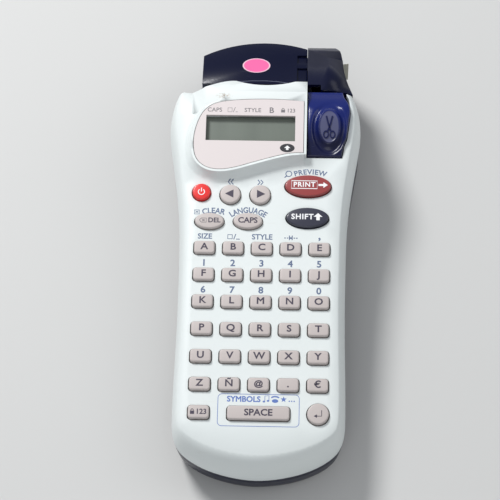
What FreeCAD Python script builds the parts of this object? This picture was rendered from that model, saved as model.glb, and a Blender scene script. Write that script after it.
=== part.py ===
import FreeCAD, Part
import os
from math import atan2, cos, degrees, hypot, pi, radians, sin, sqrt, tan

# Handheld label maker lying on its back: +X right, +Y towards the head, +Z up, millimetres.
# Two frames are used.  The base frame stands on the table.  The deck frame lies in the
# key face, which rises towards the head by DECK_TILT; deck z is measured from the face.

V = FreeCAD.Vector

# ---- overall sizes ----
DECK_TILT = 6.0            # degrees between the key face and the table
NEAR_HEIGHT = 27.0         # height of the key face at its near edge
NEAR_END = -64.4           # deck y of the near end of the casing
FACE_END_INSET = 6.7       # how far the near wall leans in from parting line to face
FACE_SIDE_INSET = 3.2      # how far the side walls lean in
FRONT_DEPTH = 13.0         # depth of the white shell below the key face
GRIP_HALF = 33.8           # half width of the grip at the parting line
HEAD_HALF = 39.6           # half width of the head at its widest
HEAD_WIDEST = 85.0         # deck y of the widest place
HEAD_END = 136.0           # base y of the far end of the back shell
WALL = 2.0                 # wall of both shells
FLOOR = 3.4                # thickness of the floor round the battery door
SHELL_STEP = 0.5           # the back shell stands in from the front shell by this
FIT = 0.2                  # general clearance between moulded pieces

# ---- keys ----
PITCH = 11.5
KEY_WIDTH = 8.2
KEY_LENGTH = 5.3
KEY_CORNER = 1.2
KEY_PROUD = 1.5            # height above the face
KEY_BEVEL = 0.5
KEY_GAP = 0.45             # clearance in the face openings
ROW_SHIFT = -0.9           # the letter block lies this far off the middle of the deck
KEY_TRAVEL = 1.0
FACE = 2.2                 # thickness of the key face
FLANGE_OUT = 0.8           # flange that keeps a key under the face
FLANGE = 0.8
DOME_RADIUS = 1.1
DOME_HEIGHT = 1.1
DOME_POCKET = 1.6
MAT = 1.4
BOARD = 1.6

# ---- display ----
HUMP = 4.2                 # height of the display housing above the key face
BEZEL = 1.2                # thickness of the display frame
BEZEL_GAP = 0.28           # groove between the display frame and its pocket
WINDOW = (-24.0, 12.5, 73.8, 85.3)
LCD_BELOW = 2.6            # how far the display glass lies below the top of the housing
BEZEL_RIGHT = 16.2         # straight right edge of the display frame
DIVIDER = 17.2             # wall between display and cutter lever

# ---- cutter lever ----
LEVER_PIVOT = (71.6, -6.4) # deck y, z of the pivot
LEVER_PIN = 1.5
PIN_FIT = 0.05
LEVER_GAP = 0.3
LEVER_WALL = 1.8
LEVER_SWING = 2.6          # room for the lever's top when it is pressed
PAD = (26.4, 81.0)         # centre of the raised thumb pad
PAD_HALF = (4.9, 7.9)
PAD_RAISE = 1.0
ARM = (27.2, 28.2)         # left and right faces of the blade arm
BLADE = 0.4

# ---- head: hood, door, ledge (base frame) ----
RIDGE = 102.6              # deck y of the far edge of the white shell
STEP = 102.0               # base y where the back shell steps down to the ledge
HOOD_START = 102.9         # base y where the hood starts
HOOD_HIGH = 41.4           # height of the hood at its start
HOOD_END = 127.0           # far end of the hood
HOOD_LOW = 36.0            # height of the hood at its far end
HOOD_RADIUS = 46.0         # plan radius of the far wall
HOOD_LEFT = -26.6
HOOD_MIDDLE = -0.5
HOOD_WALL = 2.0
DOOR_RIGHT = 17.2
PANEL_RIGHT = 25.8         # where the flat panel meets the slanted facet
HOUSING_RIGHT = 32.6
LEDGE = 14.0               # top of the ledge round the hood
DOOR_GAP = 0.4
HINGE = (129.2, 16.4)      # base y, z of the door hinge
HINGE_PIN = 1.2
KNUCKLE = 2.1
KNUCKLE_HALF = 8.0
LUG = 3.4

# ---- tape, cassette and drive (base frame) ----
TAPE_WIDTH = 12.0
TAPE = 0.2
TAPE_LOW = 16.8
TAPE_EXIT = (31.6, 121.4)
TAPE_ANGLE = 12.0
TAPE_OUT = 3.0
CASSETTE_LEFT = -24.0
CASSETTE_RIGHT = 15.2
CASSETTE_NEAR = 77.0
CASSETTE_LOW = 14.4
CASSETTE_HIGH = 30.4
CASSETTE_WALL = 1.2
ROLL_CENTRE = (-5.2, 98.0)
ROLL_RADIUS = 17.5
HUB = 3.0
ROLLER = 4.0
ROLLER_BACK = 10.8         # distance of the roller from the tape exit
GEAR_LOW = 8.8
GEAR_FACE = 2.8
MODULE = 0.6
GEAR_TEETH = 20
PINION_TEETH = 14
MESH_GAP = 0.15
GEAR_TURN = 2.0            # the motor lies this many degrees off the roller's near side
SHAFT = 1.0
MOTOR_SHAFT = 0.75
MOTOR_RADIUS = 4.6
MOTOR_LENGTH = 15.0
SHELF = 0.8

# ---- batteries (base frame) ----
CELL = 7.1                 # radius of a cell
CELL_LENGTH = 50.5
CELL_GAP = 0.1
CELL_NEAR = -46.6          # near ends of the cells
DOOR_HALF = 28.7           # half width of the battery door
TONGUE = 1.1
TONGUE_LOW = 1.1
DOOR_TOP = 2.2
BATTERY_DOOR_FAR = 6.6
DOOR_RAISE = 0.3           # the battery door stands this much off the table

# ---- screws and pegs ----
SCREW_PLACES = ((-20.0, -55.4), (20.0, -55.4), (-32.6, 67.0), (26.8, 64.0), (-32.4, 92.6))
SCREW_SHANK = 1.25
SCREW_HEAD = 2.3
SCREW_GRIP = 6.0           # shell thickness under a screw head
SCREW_BITE = 5.0           # how far a screw reaches into the front shell
FRONT_BOSS = 3.0
BACK_BOSS = 4.0
PEGS = ((-17.25, 11.5), (17.25, 11.5), (-17.25, -23.0), (17.25, -23.0), (6.2, 47.6))
PEG = 1.2

TILT = radians(DECK_TILT)
RISE = NEAR_HEIGHT - (NEAR_END + FACE_END_INSET) * sin(TILT)


# ---- frames and small tools ----

def to_base(shape):
    """Carry a shape from the deck frame to the base frame."""
    turned = shape.copy()
    turned.rotate(V(0, 0, 0), V(1, 0, 0), DECK_TILT)
    turned.translate(V(0, 0, RISE))
    return turned


def base_y(y, z):
    """Base y of a deck place."""
    return y * cos(TILT) - z * sin(TILT)


def base_z(y, z):
    """Height above the table of a deck place."""
    return y * sin(TILT) + z * cos(TILT) + RISE


def parting_height(y):
    """Height of the parting plane above the table at base y."""
    return (y - base_y(0, -FRONT_DEPTH)) * tan(TILT) + base_z(0, -FRONT_DEPTH)


def box(x0, x1, y0, y1, z0, z1):
    return Part.makeBox(x1 - x0, y1 - y0, z1 - z0, V(x0, y0, z0))


def post(radius, x, y, z0, z1):
    return Part.makeCylinder(radius, z1 - z0, V(x, y, z0))


def rod(radius, x0, x1, y, z):
    """A cylinder along X."""
    return Part.makeCylinder(radius, x1 - x0, V(x0, y, z), V(1, 0, 0))


def spacing(points):
    """Share of the way along an outline at each of its points, from 0 to 1."""
    marks = [0.0]
    for (ax, ay), (bx, by) in zip(points[:-1], points[1:]):
        marks.append(marks[-1] + hypot(bx - ax, by - ay))
    return [mark / marks[-1] for mark in marks]


def smooth(points, z=0.0, marks=None):
    """A smooth open edge through plan points, which may share the marks of another outline."""
    curve = Part.BSplineCurve()
    curve.interpolate(Points=[V(x, y, z) for x, y in points], Parameters=marks or spacing(points))
    return curve.toShape()


def closed_wire(points, z, marks=None):
    """A smooth edge closed by one straight edge from its end to its start."""
    first = V(points[0][0], points[0][1], z)
    last = V(points[-1][0], points[-1][1], z)
    return Part.Wire([smooth(points, z, marks), Part.makeLine(last, first)])


def prism(wire, height):
    """Extrude a plane closed wire upwards."""
    return Part.Face(wire).extrude(V(0, 0, height))


def polygon_x(points, x0, x1):
    """A prism along X from (y, z) points."""
    corners = [V(x0, y, z) for y, z in points]
    return Part.Face(Part.makePolygon(corners + corners[:1])).extrude(V(x1 - x0, 0, 0))


def polygon_y(points, y0, y1):
    """A prism along Y from (x, z) points."""
    corners = [V(x, y0, z) for x, z in points]
    return Part.Face(Part.makePolygon(corners + corners[:1])).extrude(V(0, y1 - y0, 0))


def polygon_z(points, z0, z1):
    """A prism along Z from (x, y) points."""
    corners = [V(x, y, z0) for x, y in points]
    return Part.Face(Part.makePolygon(corners + corners[:1])).extrude(V(0, 0, z1 - z0))


def join(shapes):
    return shapes[0].multiFuse(list(shapes[1:]))


def fuse(shapes):
    return join(shapes).removeSplitter()


def drawn_in(points, side, end):
    """Move an open outline inwards: `side` across and `end` along the length."""
    moved = []
    last = len(points) - 1
    for i, (x, y) in enumerate(points):
        ax, ay = points[max(i - 1, 0)]
        bx, by = points[min(i + 1, last)]
        run = hypot(bx - ax, by - ay)
        moved.append((x - side * (by - ay) / run, y + end * (bx - ax) / run))
    return moved


def shrunk(points, inset):
    """Move a closed outline inwards on every side."""
    count = len(points)
    moved = []
    for i, (x, y) in enumerate(points):
        ax, ay = points[i - 1]
        bx, by = points[(i + 1) % count]
        run = hypot(bx - ax, by - ay)
        moved.append((x - inset * (by - ay) / run, y + inset * (bx - ax) / run))
    return moved


def loop_wire(points, z, marks=None):
    """A smooth closed wire, which may share the marks of another outline."""
    curve = Part.BSplineCurve()
    curve.interpolate(Points=[V(x, y, z) for x, y in points], PeriodicFlag=True,
                      Parameters=marks or spacing(points + points[:1]))
    return Part.Wire([curve.toShape()])


# ---- outlines ----

def half_outline():
    """Right half of the parting line of the front shell, near end first (deck frame)."""
    flare = HEAD_HALF - GRIP_HALF
    grip = [
        (0.0, NEAR_END),
        (GRIP_HALF * 0.33, NEAR_END + 1.3),
        (GRIP_HALF * 0.60, NEAR_END + 4.1),
        (GRIP_HALF * 0.80, NEAR_END + 7.8),
        (GRIP_HALF * 0.925, NEAR_END + 11.8),
        (GRIP_HALF * 0.99, NEAR_END + 16.8),
        (GRIP_HALF * 1.01, NEAR_END + 24.0),
        (GRIP_HALF, -12.0),
        (GRIP_HALF, 26.0),
    ]
    head = [
        (GRIP_HALF + 0.14 * flare, HEAD_WIDEST - 39.0),
        (GRIP_HALF + 0.43 * flare, HEAD_WIDEST - 25.0),
        (GRIP_HALF + 0.78 * flare, HEAD_WIDEST - 12.0),
        (HEAD_HALF, HEAD_WIDEST),
        (HEAD_HALF - 0.4, HEAD_WIDEST + 6.0),
        (HEAD_HALF - 1.6, HEAD_WIDEST + 11.5),
        (HEAD_HALF - 3.3, HEAD_WIDEST + 16.0),
        (HEAD_HALF - 4.8, HEAD_WIDEST + 21.0),
    ]
    return grip + head


def mirrored(points):
    """The whole open outline, from far left round the near end to far right."""
    left = [(-x, y) for x, y in reversed(points[1:])]
    return left + points


def far_outline():
    """Right, then far, then left edge of the back shell beyond the white shell (base frame)."""
    end = HEAD_END
    return [
        (35.4, end - 31.0),
        (33.7, end - 24.0),
        (33.0, end - 17.0),
        (31.8, end - 9.8),
        (28.8, end - 4.8),
        (23.5, end - 2.0),
        (14.0, end - 0.5),
        (4.0, end),
        (-6.0, end - 0.9),
        (-15.0, end - 3.8),
        (-21.5, end - 8.0),
        (-26.0, end - 13.4),
        (-29.2, end - 18.0),
        (-32.6, end - 21.4),
        (-34.6, end - 26.0),
        (-36.2, end - 32.0),
    ]


def back_outline():
    """Closed plan of the back shell before it stands in from the front shell (base frame)."""
    right = [(x, base_y(y, -FRONT_DEPTH)) for x, y in half_outline()[:-2]]
    left = [(-x, y) for x, y in reversed(right[1:])]
    return right + far_outline() + left


def bezel_outline():
    """Edge of the display frame: along the far edge to the left, round and back."""
    return [
        (BEZEL_RIGHT, 92.2),
        (2.6, 93.0),
        (-6.8, 92.8),
        (-16.2, 91.9),
        (-21.4, 90.4),
        (-25.0, 87.4),
        (-27.6, 82.0),
        (-28.9, 76.0),
        (-28.9, 70.4),
        (-27.6, 65.6),
        (-24.2, 62.2),
        (-18.4, 60.8),
        (-12.4, 61.6),
        (-5.0, 63.9),
        (3.0, 66.4),
        (9.0, 68.0),
        (BEZEL_RIGHT, 68.6),
    ]


def lever_outline(grow, swing=0.0):
    """Plan of the cutter lever, grown on every side; the right side follows the shell."""
    left = DIVIDER + LEVER_GAP - grow
    near = 68.6 - grow
    far = 99.4 + grow
    return [
        (left, near),
        (31.6 + grow, near),
        (32.4 + grow, 73.6),
        (33.6 + grow, 77.0),
        (35.0 + grow, 88.6),
        (34.2 + grow, 92.6 + swing),
        (32.6 + grow, 96.0 + swing),
        (32.0 + grow, far + swing),
        (left, far + swing),
    ]


# ---- front shell (deck frame) ----

def front_block(inset=0.0):
    """Outside of the grip, or the same form drawn in: walls that lean in towards the key face."""
    outline = mirrored(half_outline())
    marks = spacing(outline)
    sections = []
    for z, part in ((-FRONT_DEPTH, 0.0), (-8.0, 0.16), (-3.6, 0.46), (-1.0, 0.78), (0.0, 1.0)):
        inner = drawn_in(outline, inset + FACE_SIDE_INSET * part, inset + FACE_END_INSET * part)
        sections.append(closed_wire(inner, z - inset, marks))
    return Part.makeLoft(sections, True, False)


def front_hollow():
    """Inside of the grip: the same walls, one wall further in."""
    outline = mirrored(half_outline()[:-1])
    marks = spacing(outline)
    sections = []
    for z, part in ((-FRONT_DEPTH - 1.0, 0.0), (-8.0, 0.2), (-FACE, 0.62)):
        side = WALL + FACE_SIDE_INSET * part
        end = WALL + FACE_END_INSET * part
        sections.append(closed_wire(drawn_in(outline, side, end), z, marks))
    return Part.makeLoft(sections, True, True)


def display_housing():
    """Raised housing round the display, with a soft skirt and a slope behind it."""
    outline = bezel_outline()
    marks = spacing(outline)
    sections = []
    for z, out in ((-1.2, 5.2), (0.6, 3.2), (2.6, 1.6), (HUMP, 0.9)):
        sections.append(closed_wire(drawn_in(outline, -out, -out), z, marks))
    skirt = Part.makeLoft(sections, True, False)
    slope = polygon_x(((88.0, -2.0), (88.0, HUMP), (96.4, HUMP), (RIDGE + 1.2, 0.6), (RIDGE + 1.2, -2.0)),
                      -36.0, DIVIDER)
    fall = polygon_y(((DIVIDER, -2.0), (DIVIDER, HUMP), (-18.0, HUMP), (-24.0, HUMP - 0.9),
                      (-29.0, 0.8), (-33.6, -2.0)), 86.0, RIDGE + 2.0)
    strip = box(10.0, DIVIDER, 68.0, 96.0, -1.2, HUMP)
    keep = box(-60.0, DIVIDER, 40.0, RIDGE + 2.0, -2.0, HUMP)
    return fuse([skirt, slope.common(fall), strip]).common(keep)


def ridge_cut(nearer=0.0):
    """What lies beyond the white shell's far edge, with the thumb scoop at the door."""
    scoop_half = 12.2
    edge = [(-46.0, RIDGE + 2.0), (-37.4, RIDGE - 3.6), (-31.0, RIDGE - 5.4), (-25.0, RIDGE - 3.8),
            (-19.0, RIDGE - 1.2), (-scoop_half, RIDGE)]
    left = smooth(edge, -40.0)
    scoop = Part.Arc(V(-scoop_half, RIDGE, -40.0), V(0.0, RIDGE - 2.4, -40.0),
                     V(scoop_half, RIDGE, -40.0)).toShape()
    path = [V(scoop_half, RIDGE, -40.0), V(DIVIDER, RIDGE, -40.0), V(DIVIDER, 97.6, -40.0),
            V(34.4, 97.6, -40.0), V(36.4, 99.4, -40.0), V(60.0, 99.4, -40.0),
            V(60.0, 150.0, -40.0), V(-46.0, 150.0, -40.0), V(-46.0, RIDGE + 2.0, -40.0)]
    lines = [Part.makeLine(a, b) for a, b in zip(path[:-1], path[1:])]
    beyond = prism(Part.Wire([left, scoop] + lines), 60.0)
    beyond.translate(V(0, -nearer, 0))
    return beyond


def display_pocket():
    """Pocket for the display frame, the window under it and room for the glass."""
    frame = prism(closed_wire(bezel_outline(), HUMP - BEZEL), BEZEL + 1.0)
    x0, x1, y0, y1 = WINDOW
    window = box(x0 - 0.4, x1 + 0.4, y0 - 0.4, y1 + 0.4, -4.0, HUMP)
    room = box(x0 - 1.6, x1 + 1.6, y0 - 3.0, y1 + 3.0, -FACE - 1.0, HUMP - LCD_BELOW)
    return fuse([frame, window, room])


def front_casing(keys):
    shell = fuse([front_block(), display_housing()])
    shell = shell.cut(front_hollow())
    divider = box(DIVIDER - 1.5, DIVIDER, 66.8, RIDGE - 1.0, -FRONT_DEPTH, 0.0)
    near_rib = box(DIVIDER - 1.5, 35.5, 66.8, 68.3, -FRONT_DEPTH, -1.0)
    cheek = polygon_z(((31.9, 66.8), (38.0, 66.8), (38.0, 96.6), (34.8, 96.6), (35.3, 88.6),
                       (33.9, 77.0), (32.7, 73.6)), -FRONT_DEPTH, -2.0)
    outside = front_block()
    left_side = box(-60.0, -12.2, 80.0, RIDGE, -FRONT_DEPTH, 0.0)
    ridge_wall = ridge_cut(WALL).common(outside).common(left_side)
    pegs = [post(PEG, x, y, board_bottom() - 0.6, -FACE + 0.3) for x, y in PEGS]
    shell = fuse([shell, divider, near_rib.common(outside), cheek.common(outside), ridge_wall] + pegs)
    bay = polygon_z(lever_outline(LEVER_GAP, LEVER_SWING), -40.0, 20.0)
    bay = bay.fuse(box(DIVIDER, 33.0, 90.0, 120.0, -40.0, 20.0))
    cuts = [bay, ridge_cut(), display_pocket(), lever_pins(PIN_FIT)]
    cuts += [key_prism(key, KEY_GAP, -FACE - 1.0, 1.0) for key in keys]
    shell = shell.cut(cuts)
    columns = []
    reach = to_base(front_block(WALL / 2).fuse(front_hollow()))
    for x, y in SCREW_PLACES:
        low = parting_height(base_y(y, -FRONT_DEPTH))
        high = base_z(y, -FACE + 0.6)
        column = post(FRONT_BOSS, x, base_y(y, -FRONT_DEPTH), low - 2.0, high).common(reach)
        columns.append(column.cut(post(SCREW_SHANK + 0.05, x, base_y(y, -FRONT_DEPTH), low - 3.0, low + 6.0)))
    below = box(-60.0, 60.0, -120.0, 160.0, -60.0, -FRONT_DEPTH)
    columns = [column.cut(to_base(below)) for column in columns]
    return fuse([to_base(shell)] + columns)


# ---- keys and what lies under them (deck frame) ----

def letter_keys():
    """Six rows of five small keys."""
    names = ["a", "b", "c", "d", "e", "f", "g", "h", "i", "j", "k", "l", "m", "n", "o", "p", "q",
             "r", "s", "t", "u", "v", "w", "x", "y", "z", "n_tilde", "at", "dot", "euro"]
    keys = []
    for i, name in enumerate(names):
        column = i % 5 - 2
        row = i // 5
        keys.append(("key_" + name, "block", column * PITCH, (2.5 - row) * PITCH + ROW_SHIFT,
                     KEY_WIDTH, KEY_LENGTH))
    return keys


def function_keys():
    """Keys of other shapes: name, shape, centre x, y, width, length."""
    return [
        ("key_lock_123", "block", -2 * PITCH, -41.2, KEY_WIDTH, KEY_LENGTH),
        ("key_space", "block", 0.2, -41.3, 24.2, 5.5),
        ("key_enter", "oval", 23.3, -41.3, 8.4, 8.4),
        ("key_power", "oval", -25.0, 52.1, 7.2, 7.2),
        ("key_left", "oval", -13.3, 51.3, 8.2, 8.2),
        ("key_right", "oval", -1.2, 51.3, 8.2, 8.2),
        ("key_delete", "oval", -21.4, 39.4, 11.6, 6.8),
        ("key_caps", "oval", -5.9, 39.6, 11.6, 6.8),
        ("key_print", "oval", 18.1, 55.4, 18.6, 9.4),
        ("key_shift", "oval", 18.0, 41.4, 17.0, 8.6),
    ]


def key_wire(key, grow, z):
    """Outline of a key cap grown by `grow`."""
    _, kind, x, y, width, length = key
    a = width / 2 + grow
    b = length / 2 + grow
    if kind == "oval":
        if a == b:
            return Part.Wire([Part.Circle(V(x, y, z), V(0, 0, 1), a).toShape()])
        return Part.Wire([Part.Ellipse(V(x, y, z), a, b).toShape()])
    r = max(KEY_CORNER + grow, 0.3)
    h = r * (1 - sqrt(0.5))
    edges = []
    for sx, sy in ((1, 1), (-1, 1), (-1, -1), (1, -1)):
        side = V(x + sx * a, y + sy * (b - r), z)
        middle = V(x + sx * (a - h), y + sy * (b - h), z)
        end = V(x + sx * (a - r), y + sy * b, z)
        ends = (side, end) if sx == sy else (end, side)
        edges.append(Part.Arc(ends[0], middle, ends[1]).toShape())
    lines = []
    for i, edge in enumerate(edges):
        following = edges[(i + 1) % 4]
        lines.append(edge)
        lines.append(Part.makeLine(edge.Vertexes[-1].Point, following.Vertexes[0].Point))
    return Part.Wire(lines)


def key_prism(key, grow, z0, z1):
    return prism(key_wire(key, grow, z0), z1 - z0)


def key_cap(key):
    """Cap with a bevelled top, a flange under the face and a pocket for the dome."""
    flange_top = -FACE - FIT
    stem = key_prism(key, 0.0, flange_top - FLANGE, KEY_PROUD - KEY_BEVEL)
    top = Part.makeLoft([key_wire(key, 0.0, KEY_PROUD - KEY_BEVEL), key_wire(key, -KEY_BEVEL, KEY_PROUD)],
                        True, True)
    flange = key_prism(key, FLANGE_OUT, flange_top - FLANGE, flange_top)
    pocket = post(DOME_RADIUS + 0.4, key[2], key[3], flange_top - FLANGE - 0.1, flange_top - FLANGE + DOME_POCKET)
    return to_base(fuse([stem, top, flange]).cut(pocket))


def mat_top():
    return -FACE - FIT - FLANGE - KEY_TRAVEL - 0.4


def board_bottom():
    return mat_top() - MAT - BOARD


def peg_holes():
    """Holes that let the front shell's pegs through the sheet and the board."""
    return [post(PEG + 0.1, x, y, board_bottom() - 1.0, 0.0) for x, y in PEGS]


def key_mat(keys):
    """Rubber sheet with one dome under each key."""
    top = mat_top()
    sheet = box(-28.4, 28.4, -48.0, 59.6, top - MAT, top).cut(peg_holes())
    domes = [post(DOME_RADIUS, key[2], key[3], top - 0.2, top + DOME_HEIGHT) for key in keys]
    return to_base(fuse([sheet] + domes))


def circuit_board():
    """Main board with its processor and two driver chips on the underside."""
    top = mat_top() - MAT
    board = box(-28.0, 28.0, -48.0, 59.6, top - BOARD, top).cut(peg_holes())
    chip = box(-6.0, 6.0, 20.0, 32.0, top - BOARD - 1.4, top - BOARD)
    drivers = [box(x - 3.0, x + 3.0, 44.0, 52.0, top - BOARD - 1.2, top - BOARD) for x in (-14.0, 12.0)]
    return to_base(fuse([board, chip] + drivers))


def display_bezel():
    """Display frame: a plate with the window cut out of it."""
    x0, x1, y0, y1 = WINDOW
    plate = prism(closed_wire(drawn_in(bezel_outline(), BEZEL_GAP, BEZEL_GAP), HUMP - BEZEL), BEZEL)
    plate = plate.common(box(-60.0, BEZEL_RIGHT - BEZEL_GAP, 40.0, 120.0, 0.0, 20.0))
    return to_base(plate.cut(box(x0, x1, y0, y1, 0.0, HUMP + 1.0)))


def lcd_module():
    """Display glass on its carrier."""
    x0, x1, y0, y1 = WINDOW
    top = HUMP - LCD_BELOW
    glass = box(x0 - 1.3, x1 + 1.3, y0 - 2.6, y1 + 2.6, top - 2.2, top)
    carrier = box(x0 - 1.3, x1 + 1.3, y0 - 2.6, y1 + 2.6, -4.8, top - 2.2)
    return to_base(fuse([glass, carrier]))


# ---- cutter lever and blade (deck frame) ----

def lever_pins(grow):
    """Pivot stubs of the lever; the same stubs grown by the fit make the bearings."""
    y, z = LEVER_PIVOT
    left = rod(LEVER_PIN + grow, DIVIDER - 1.2 - grow, DIVIDER + 2.0, y, z)
    right = rod(LEVER_PIN + grow, 30.0, 34.0 + grow, y, z)
    return left.fuse(right)


def lever_skin(drop, low):
    """Outside of the lever lowered by `drop`: a thumb rest that falls away at both ends."""
    along = [(71.4, -8.4 - low), (68.0, -5.0 - low), (68.0, 0.4 - drop), (71.0, 1.6 - drop),
             (74.6, 2.2 - drop), (78.0, 3.4 - drop), (84.0, 4.4 - drop), (89.0, 4.2 - drop),
             (93.6, 2.2 - drop), (102.0, -3.2 - drop), (102.0, -5.6 - low)]
    across = [(16.0, -20.0), (16.0, 3.0 - drop), (19.6, 4.6 - drop), (27.0, 5.2 - drop),
              (32.4, 4.4 - drop), (37.0, 2.0 - drop), (37.0, -20.0)]
    return polygon_x(along, 10.0, 40.0).common(polygon_y(across, 60.0, 110.0))


def pad_prism(grow, z0, z1):
    """Upright oval prism at the thumb pad, longer along the object."""
    rim = Part.Ellipse(V(0, 0, z0), PAD_HALF[1] + grow, PAD_HALF[0] + grow).toShape()
    rim.rotate(V(0, 0, 0), V(0, 0, 1), 90)
    rim.translate(V(PAD[0], PAD[1], 0))
    return prism(Part.Wire([rim]), z1 - z0)


def cutter_lever():
    """Lever with its thumb pad, pivot stubs and the arm that carries the blade."""
    plan = polygon_z(lever_outline(0.0), -14.0, 14.0)
    body = lever_skin(0.0, 0.0).common(plan)
    cavity = lever_skin(LEVER_WALL, 6.0).common(polygon_z(lever_outline(-LEVER_WALL), -20.0, 20.0))
    body = body.cut(cavity)
    ring = pad_prism(1.7, 0.0, 12.0).cut(pad_prism(0.0, 0.0, 12.0))
    groove = ring.cut(lever_skin(0.7, 20.0))
    pad = pad_prism(0.0, 0.0, 12.0).common(lever_skin(-PAD_RAISE, 0.0)).cut(lever_skin(LEVER_WALL, 20.0))
    rib = box(ARM[0], ARM[1], 84.0, 98.6, -9.0, 12.0).common(lever_skin(0.4, 3.0))
    arm = polygon_x(((94.0, -6.2), (98.6, -6.4), (101.0, -9.6), (113.0, -13.0), (118.6, -13.9),
                     (118.6, -16.4), (112.0, -15.8), (96.0, -12.4)), ARM[0], ARM[1])
    stubs = lever_pins(0.0)
    hubs = [rod(LEVER_PIN + 1.0, 17.6, 21.0, *LEVER_PIVOT), rod(LEVER_PIN + 1.0, 28.0, 31.2, *LEVER_PIVOT)]
    return to_base(fuse([body.cut(groove), pad, rib, arm, stubs] + hubs))


def cutter_blade():
    """Steel blade on the right face of the arm, its edge just above the tape."""
    points = ((112.0, -13.2), (118.0, -14.0), (122.4, -15.0), (122.4, -16.6), (118.0, -16.6), (112.0, -15.2))
    return to_base(polygon_x(points, ARM[1], ARM[1] + BLADE))


# ---- hood, door and exit housing (base frame) ----

def hood_wire(inset, right, z):
    """Plan of the hood: straight cheeks and a far wall on one large arc."""
    radius = HOOD_RADIUS - inset
    centre = HOOD_END - HOOD_RADIUS
    left = HOOD_LEFT + inset
    near = HOOD_START - 20.0 if inset else HOOD_START
    far_left = centre + sqrt(radius ** 2 - (left - HOOD_MIDDLE) ** 2)
    far_right = centre + sqrt(radius ** 2 - (right - HOOD_MIDDLE) ** 2)
    arc = Part.Arc(V(left, far_left, z), V(HOOD_MIDDLE, centre + radius, z), V(right, far_right, z)).toShape()
    corners = [V(right, far_right, z), V(right, near, z), V(left, near, z), V(left, far_left, z)]
    return Part.Wire([arc] + [Part.makeLine(a, b) for a, b in zip(corners[:-1], corners[1:])])


def under_hood(inset, z0):
    """Everything under the hood's sloping top, lowered by `inset`."""
    slope = (HOOD_HIGH - HOOD_LOW) / (HOOD_END - HOOD_START)
    near = HOOD_START - 30.0
    far = HOOD_END + 20.0
    return polygon_x(((near, z0), (near, HOOD_HIGH + 30.0 * slope - inset),
                      (far, HOOD_LOW - 20.0 * slope - inset), (far, z0)), -60.0, 60.0)


def hood_block(inset, right, z0):
    return prism(hood_wire(inset, right, z0), 60.0).common(under_hood(inset, z0))


def cassette_door():
    """Hood that swings on its far lower edge: top, far wall, left cheek, thumb lip and knuckle."""
    low = LEDGE + DOOR_GAP
    outer = hood_block(0.0, DOOR_RIGHT - FIT, low)
    shell = outer.cut(hood_block(HOOD_WALL, 40.0, low - 5.0))
    lens = Part.Wire([
        Part.Arc(V(-11.0, HOOD_START + 0.6, 20.0), V(0.0, HOOD_START - 2.1, 20.0),
                 V(11.0, HOOD_START + 0.6, 20.0)).toShape(),
        Part.makeLine(V(11.0, HOOD_START + 0.6, 20.0), V(-11.0, HOOD_START + 0.6, 20.0))])
    lip = prism(lens, 40.0).common(under_hood(0.5, 0.0)).cut(under_hood(2.1, -5.0))
    latch = box(12.8, DOOR_RIGHT, HOOD_START + 1.6, HOOD_START + 17.0, 20.0, 60.0).cut(under_hood(1.1, 0.0))
    catch = box(12.8, DOOR_RIGHT - FIT, HOOD_START + 9.6, HOOD_START + 12.6, 20.0, 60.0)
    catch = catch.common(under_hood(0.2, 0.0)).cut(under_hood(1.5, -5.0))
    y, z = HINGE
    knuckle = rod(KNUCKLE, -KNUCKLE_HALF, KNUCKLE_HALF, y, z)
    web = box(-KNUCKLE_HALF, KNUCKLE_HALF, HOOD_END - 1.6, y, z - 1.4, z + KNUCKLE)
    pin = rod(HINGE_PIN, -KNUCKLE_HALF - LUG, KNUCKLE_HALF + LUG, y, z)
    return fuse([shell.cut(latch), catch, lip, web, knuckle, pin])


def hinge_lugs():
    """Two lugs on the ledge that carry the door's pin."""
    y, z = HINGE
    lugs = []
    for side in (-1, 1):
        x0 = min(side * (KNUCKLE_HALF + 0.3), side * (KNUCKLE_HALF + LUG))
        x1 = max(side * (KNUCKLE_HALF + 0.3), side * (KNUCKLE_HALF + LUG))
        foot = box(x0, x1, y - 1.9, y + 3.2, LEDGE - 1.0, LEDGE + 0.8)
        lugs.append(fuse([rod(KNUCKLE, x0, x1, y, z), box(x0, x1, y - 1.9, y + 1.9, LEDGE - 1.0, z), foot]))
    return [lug.cut(rod(HINGE_PIN + PIN_FIT, -20.0, 20.0, y, z)) for lug in lugs]


def corner_profile(drop, z0):
    """Rounded far shoulder of the exit housing."""
    points = [(90.0, z0), (90.0, 34.0 - drop), (121.0, 34.0 - drop), (125.6, 32.8 - drop),
              (129.4, 29.4 - drop), (132.4, 23.0 - drop), (134.0, z0)]
    return polygon_x(points, DOOR_RIGHT - 10.0, 60.0)


def facet_block(drop, right, far, z0):
    """Slanted facet on the right of the hood, following the hood's slope."""
    fall = 3.4
    slope = atan2(HOOD_HIGH - HOOD_LOW, HOOD_END - HOOD_START)
    face = polygon_y(((PANEL_RIGHT - 3.0, -60.0), (PANEL_RIGHT - 3.0, -drop), (PANEL_RIGHT, -drop),
                      (right, -fall - drop), (right, -60.0)), -30.0, 60.0)
    face.rotate(V(0, 0, 0), V(1, 0, 0), -degrees(slope))
    face.translate(V(0, HOOD_START, HOOD_HIGH))
    return face.common(box(0.0, 60.0, STEP - 2.4, far, z0, 80.0))


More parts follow.
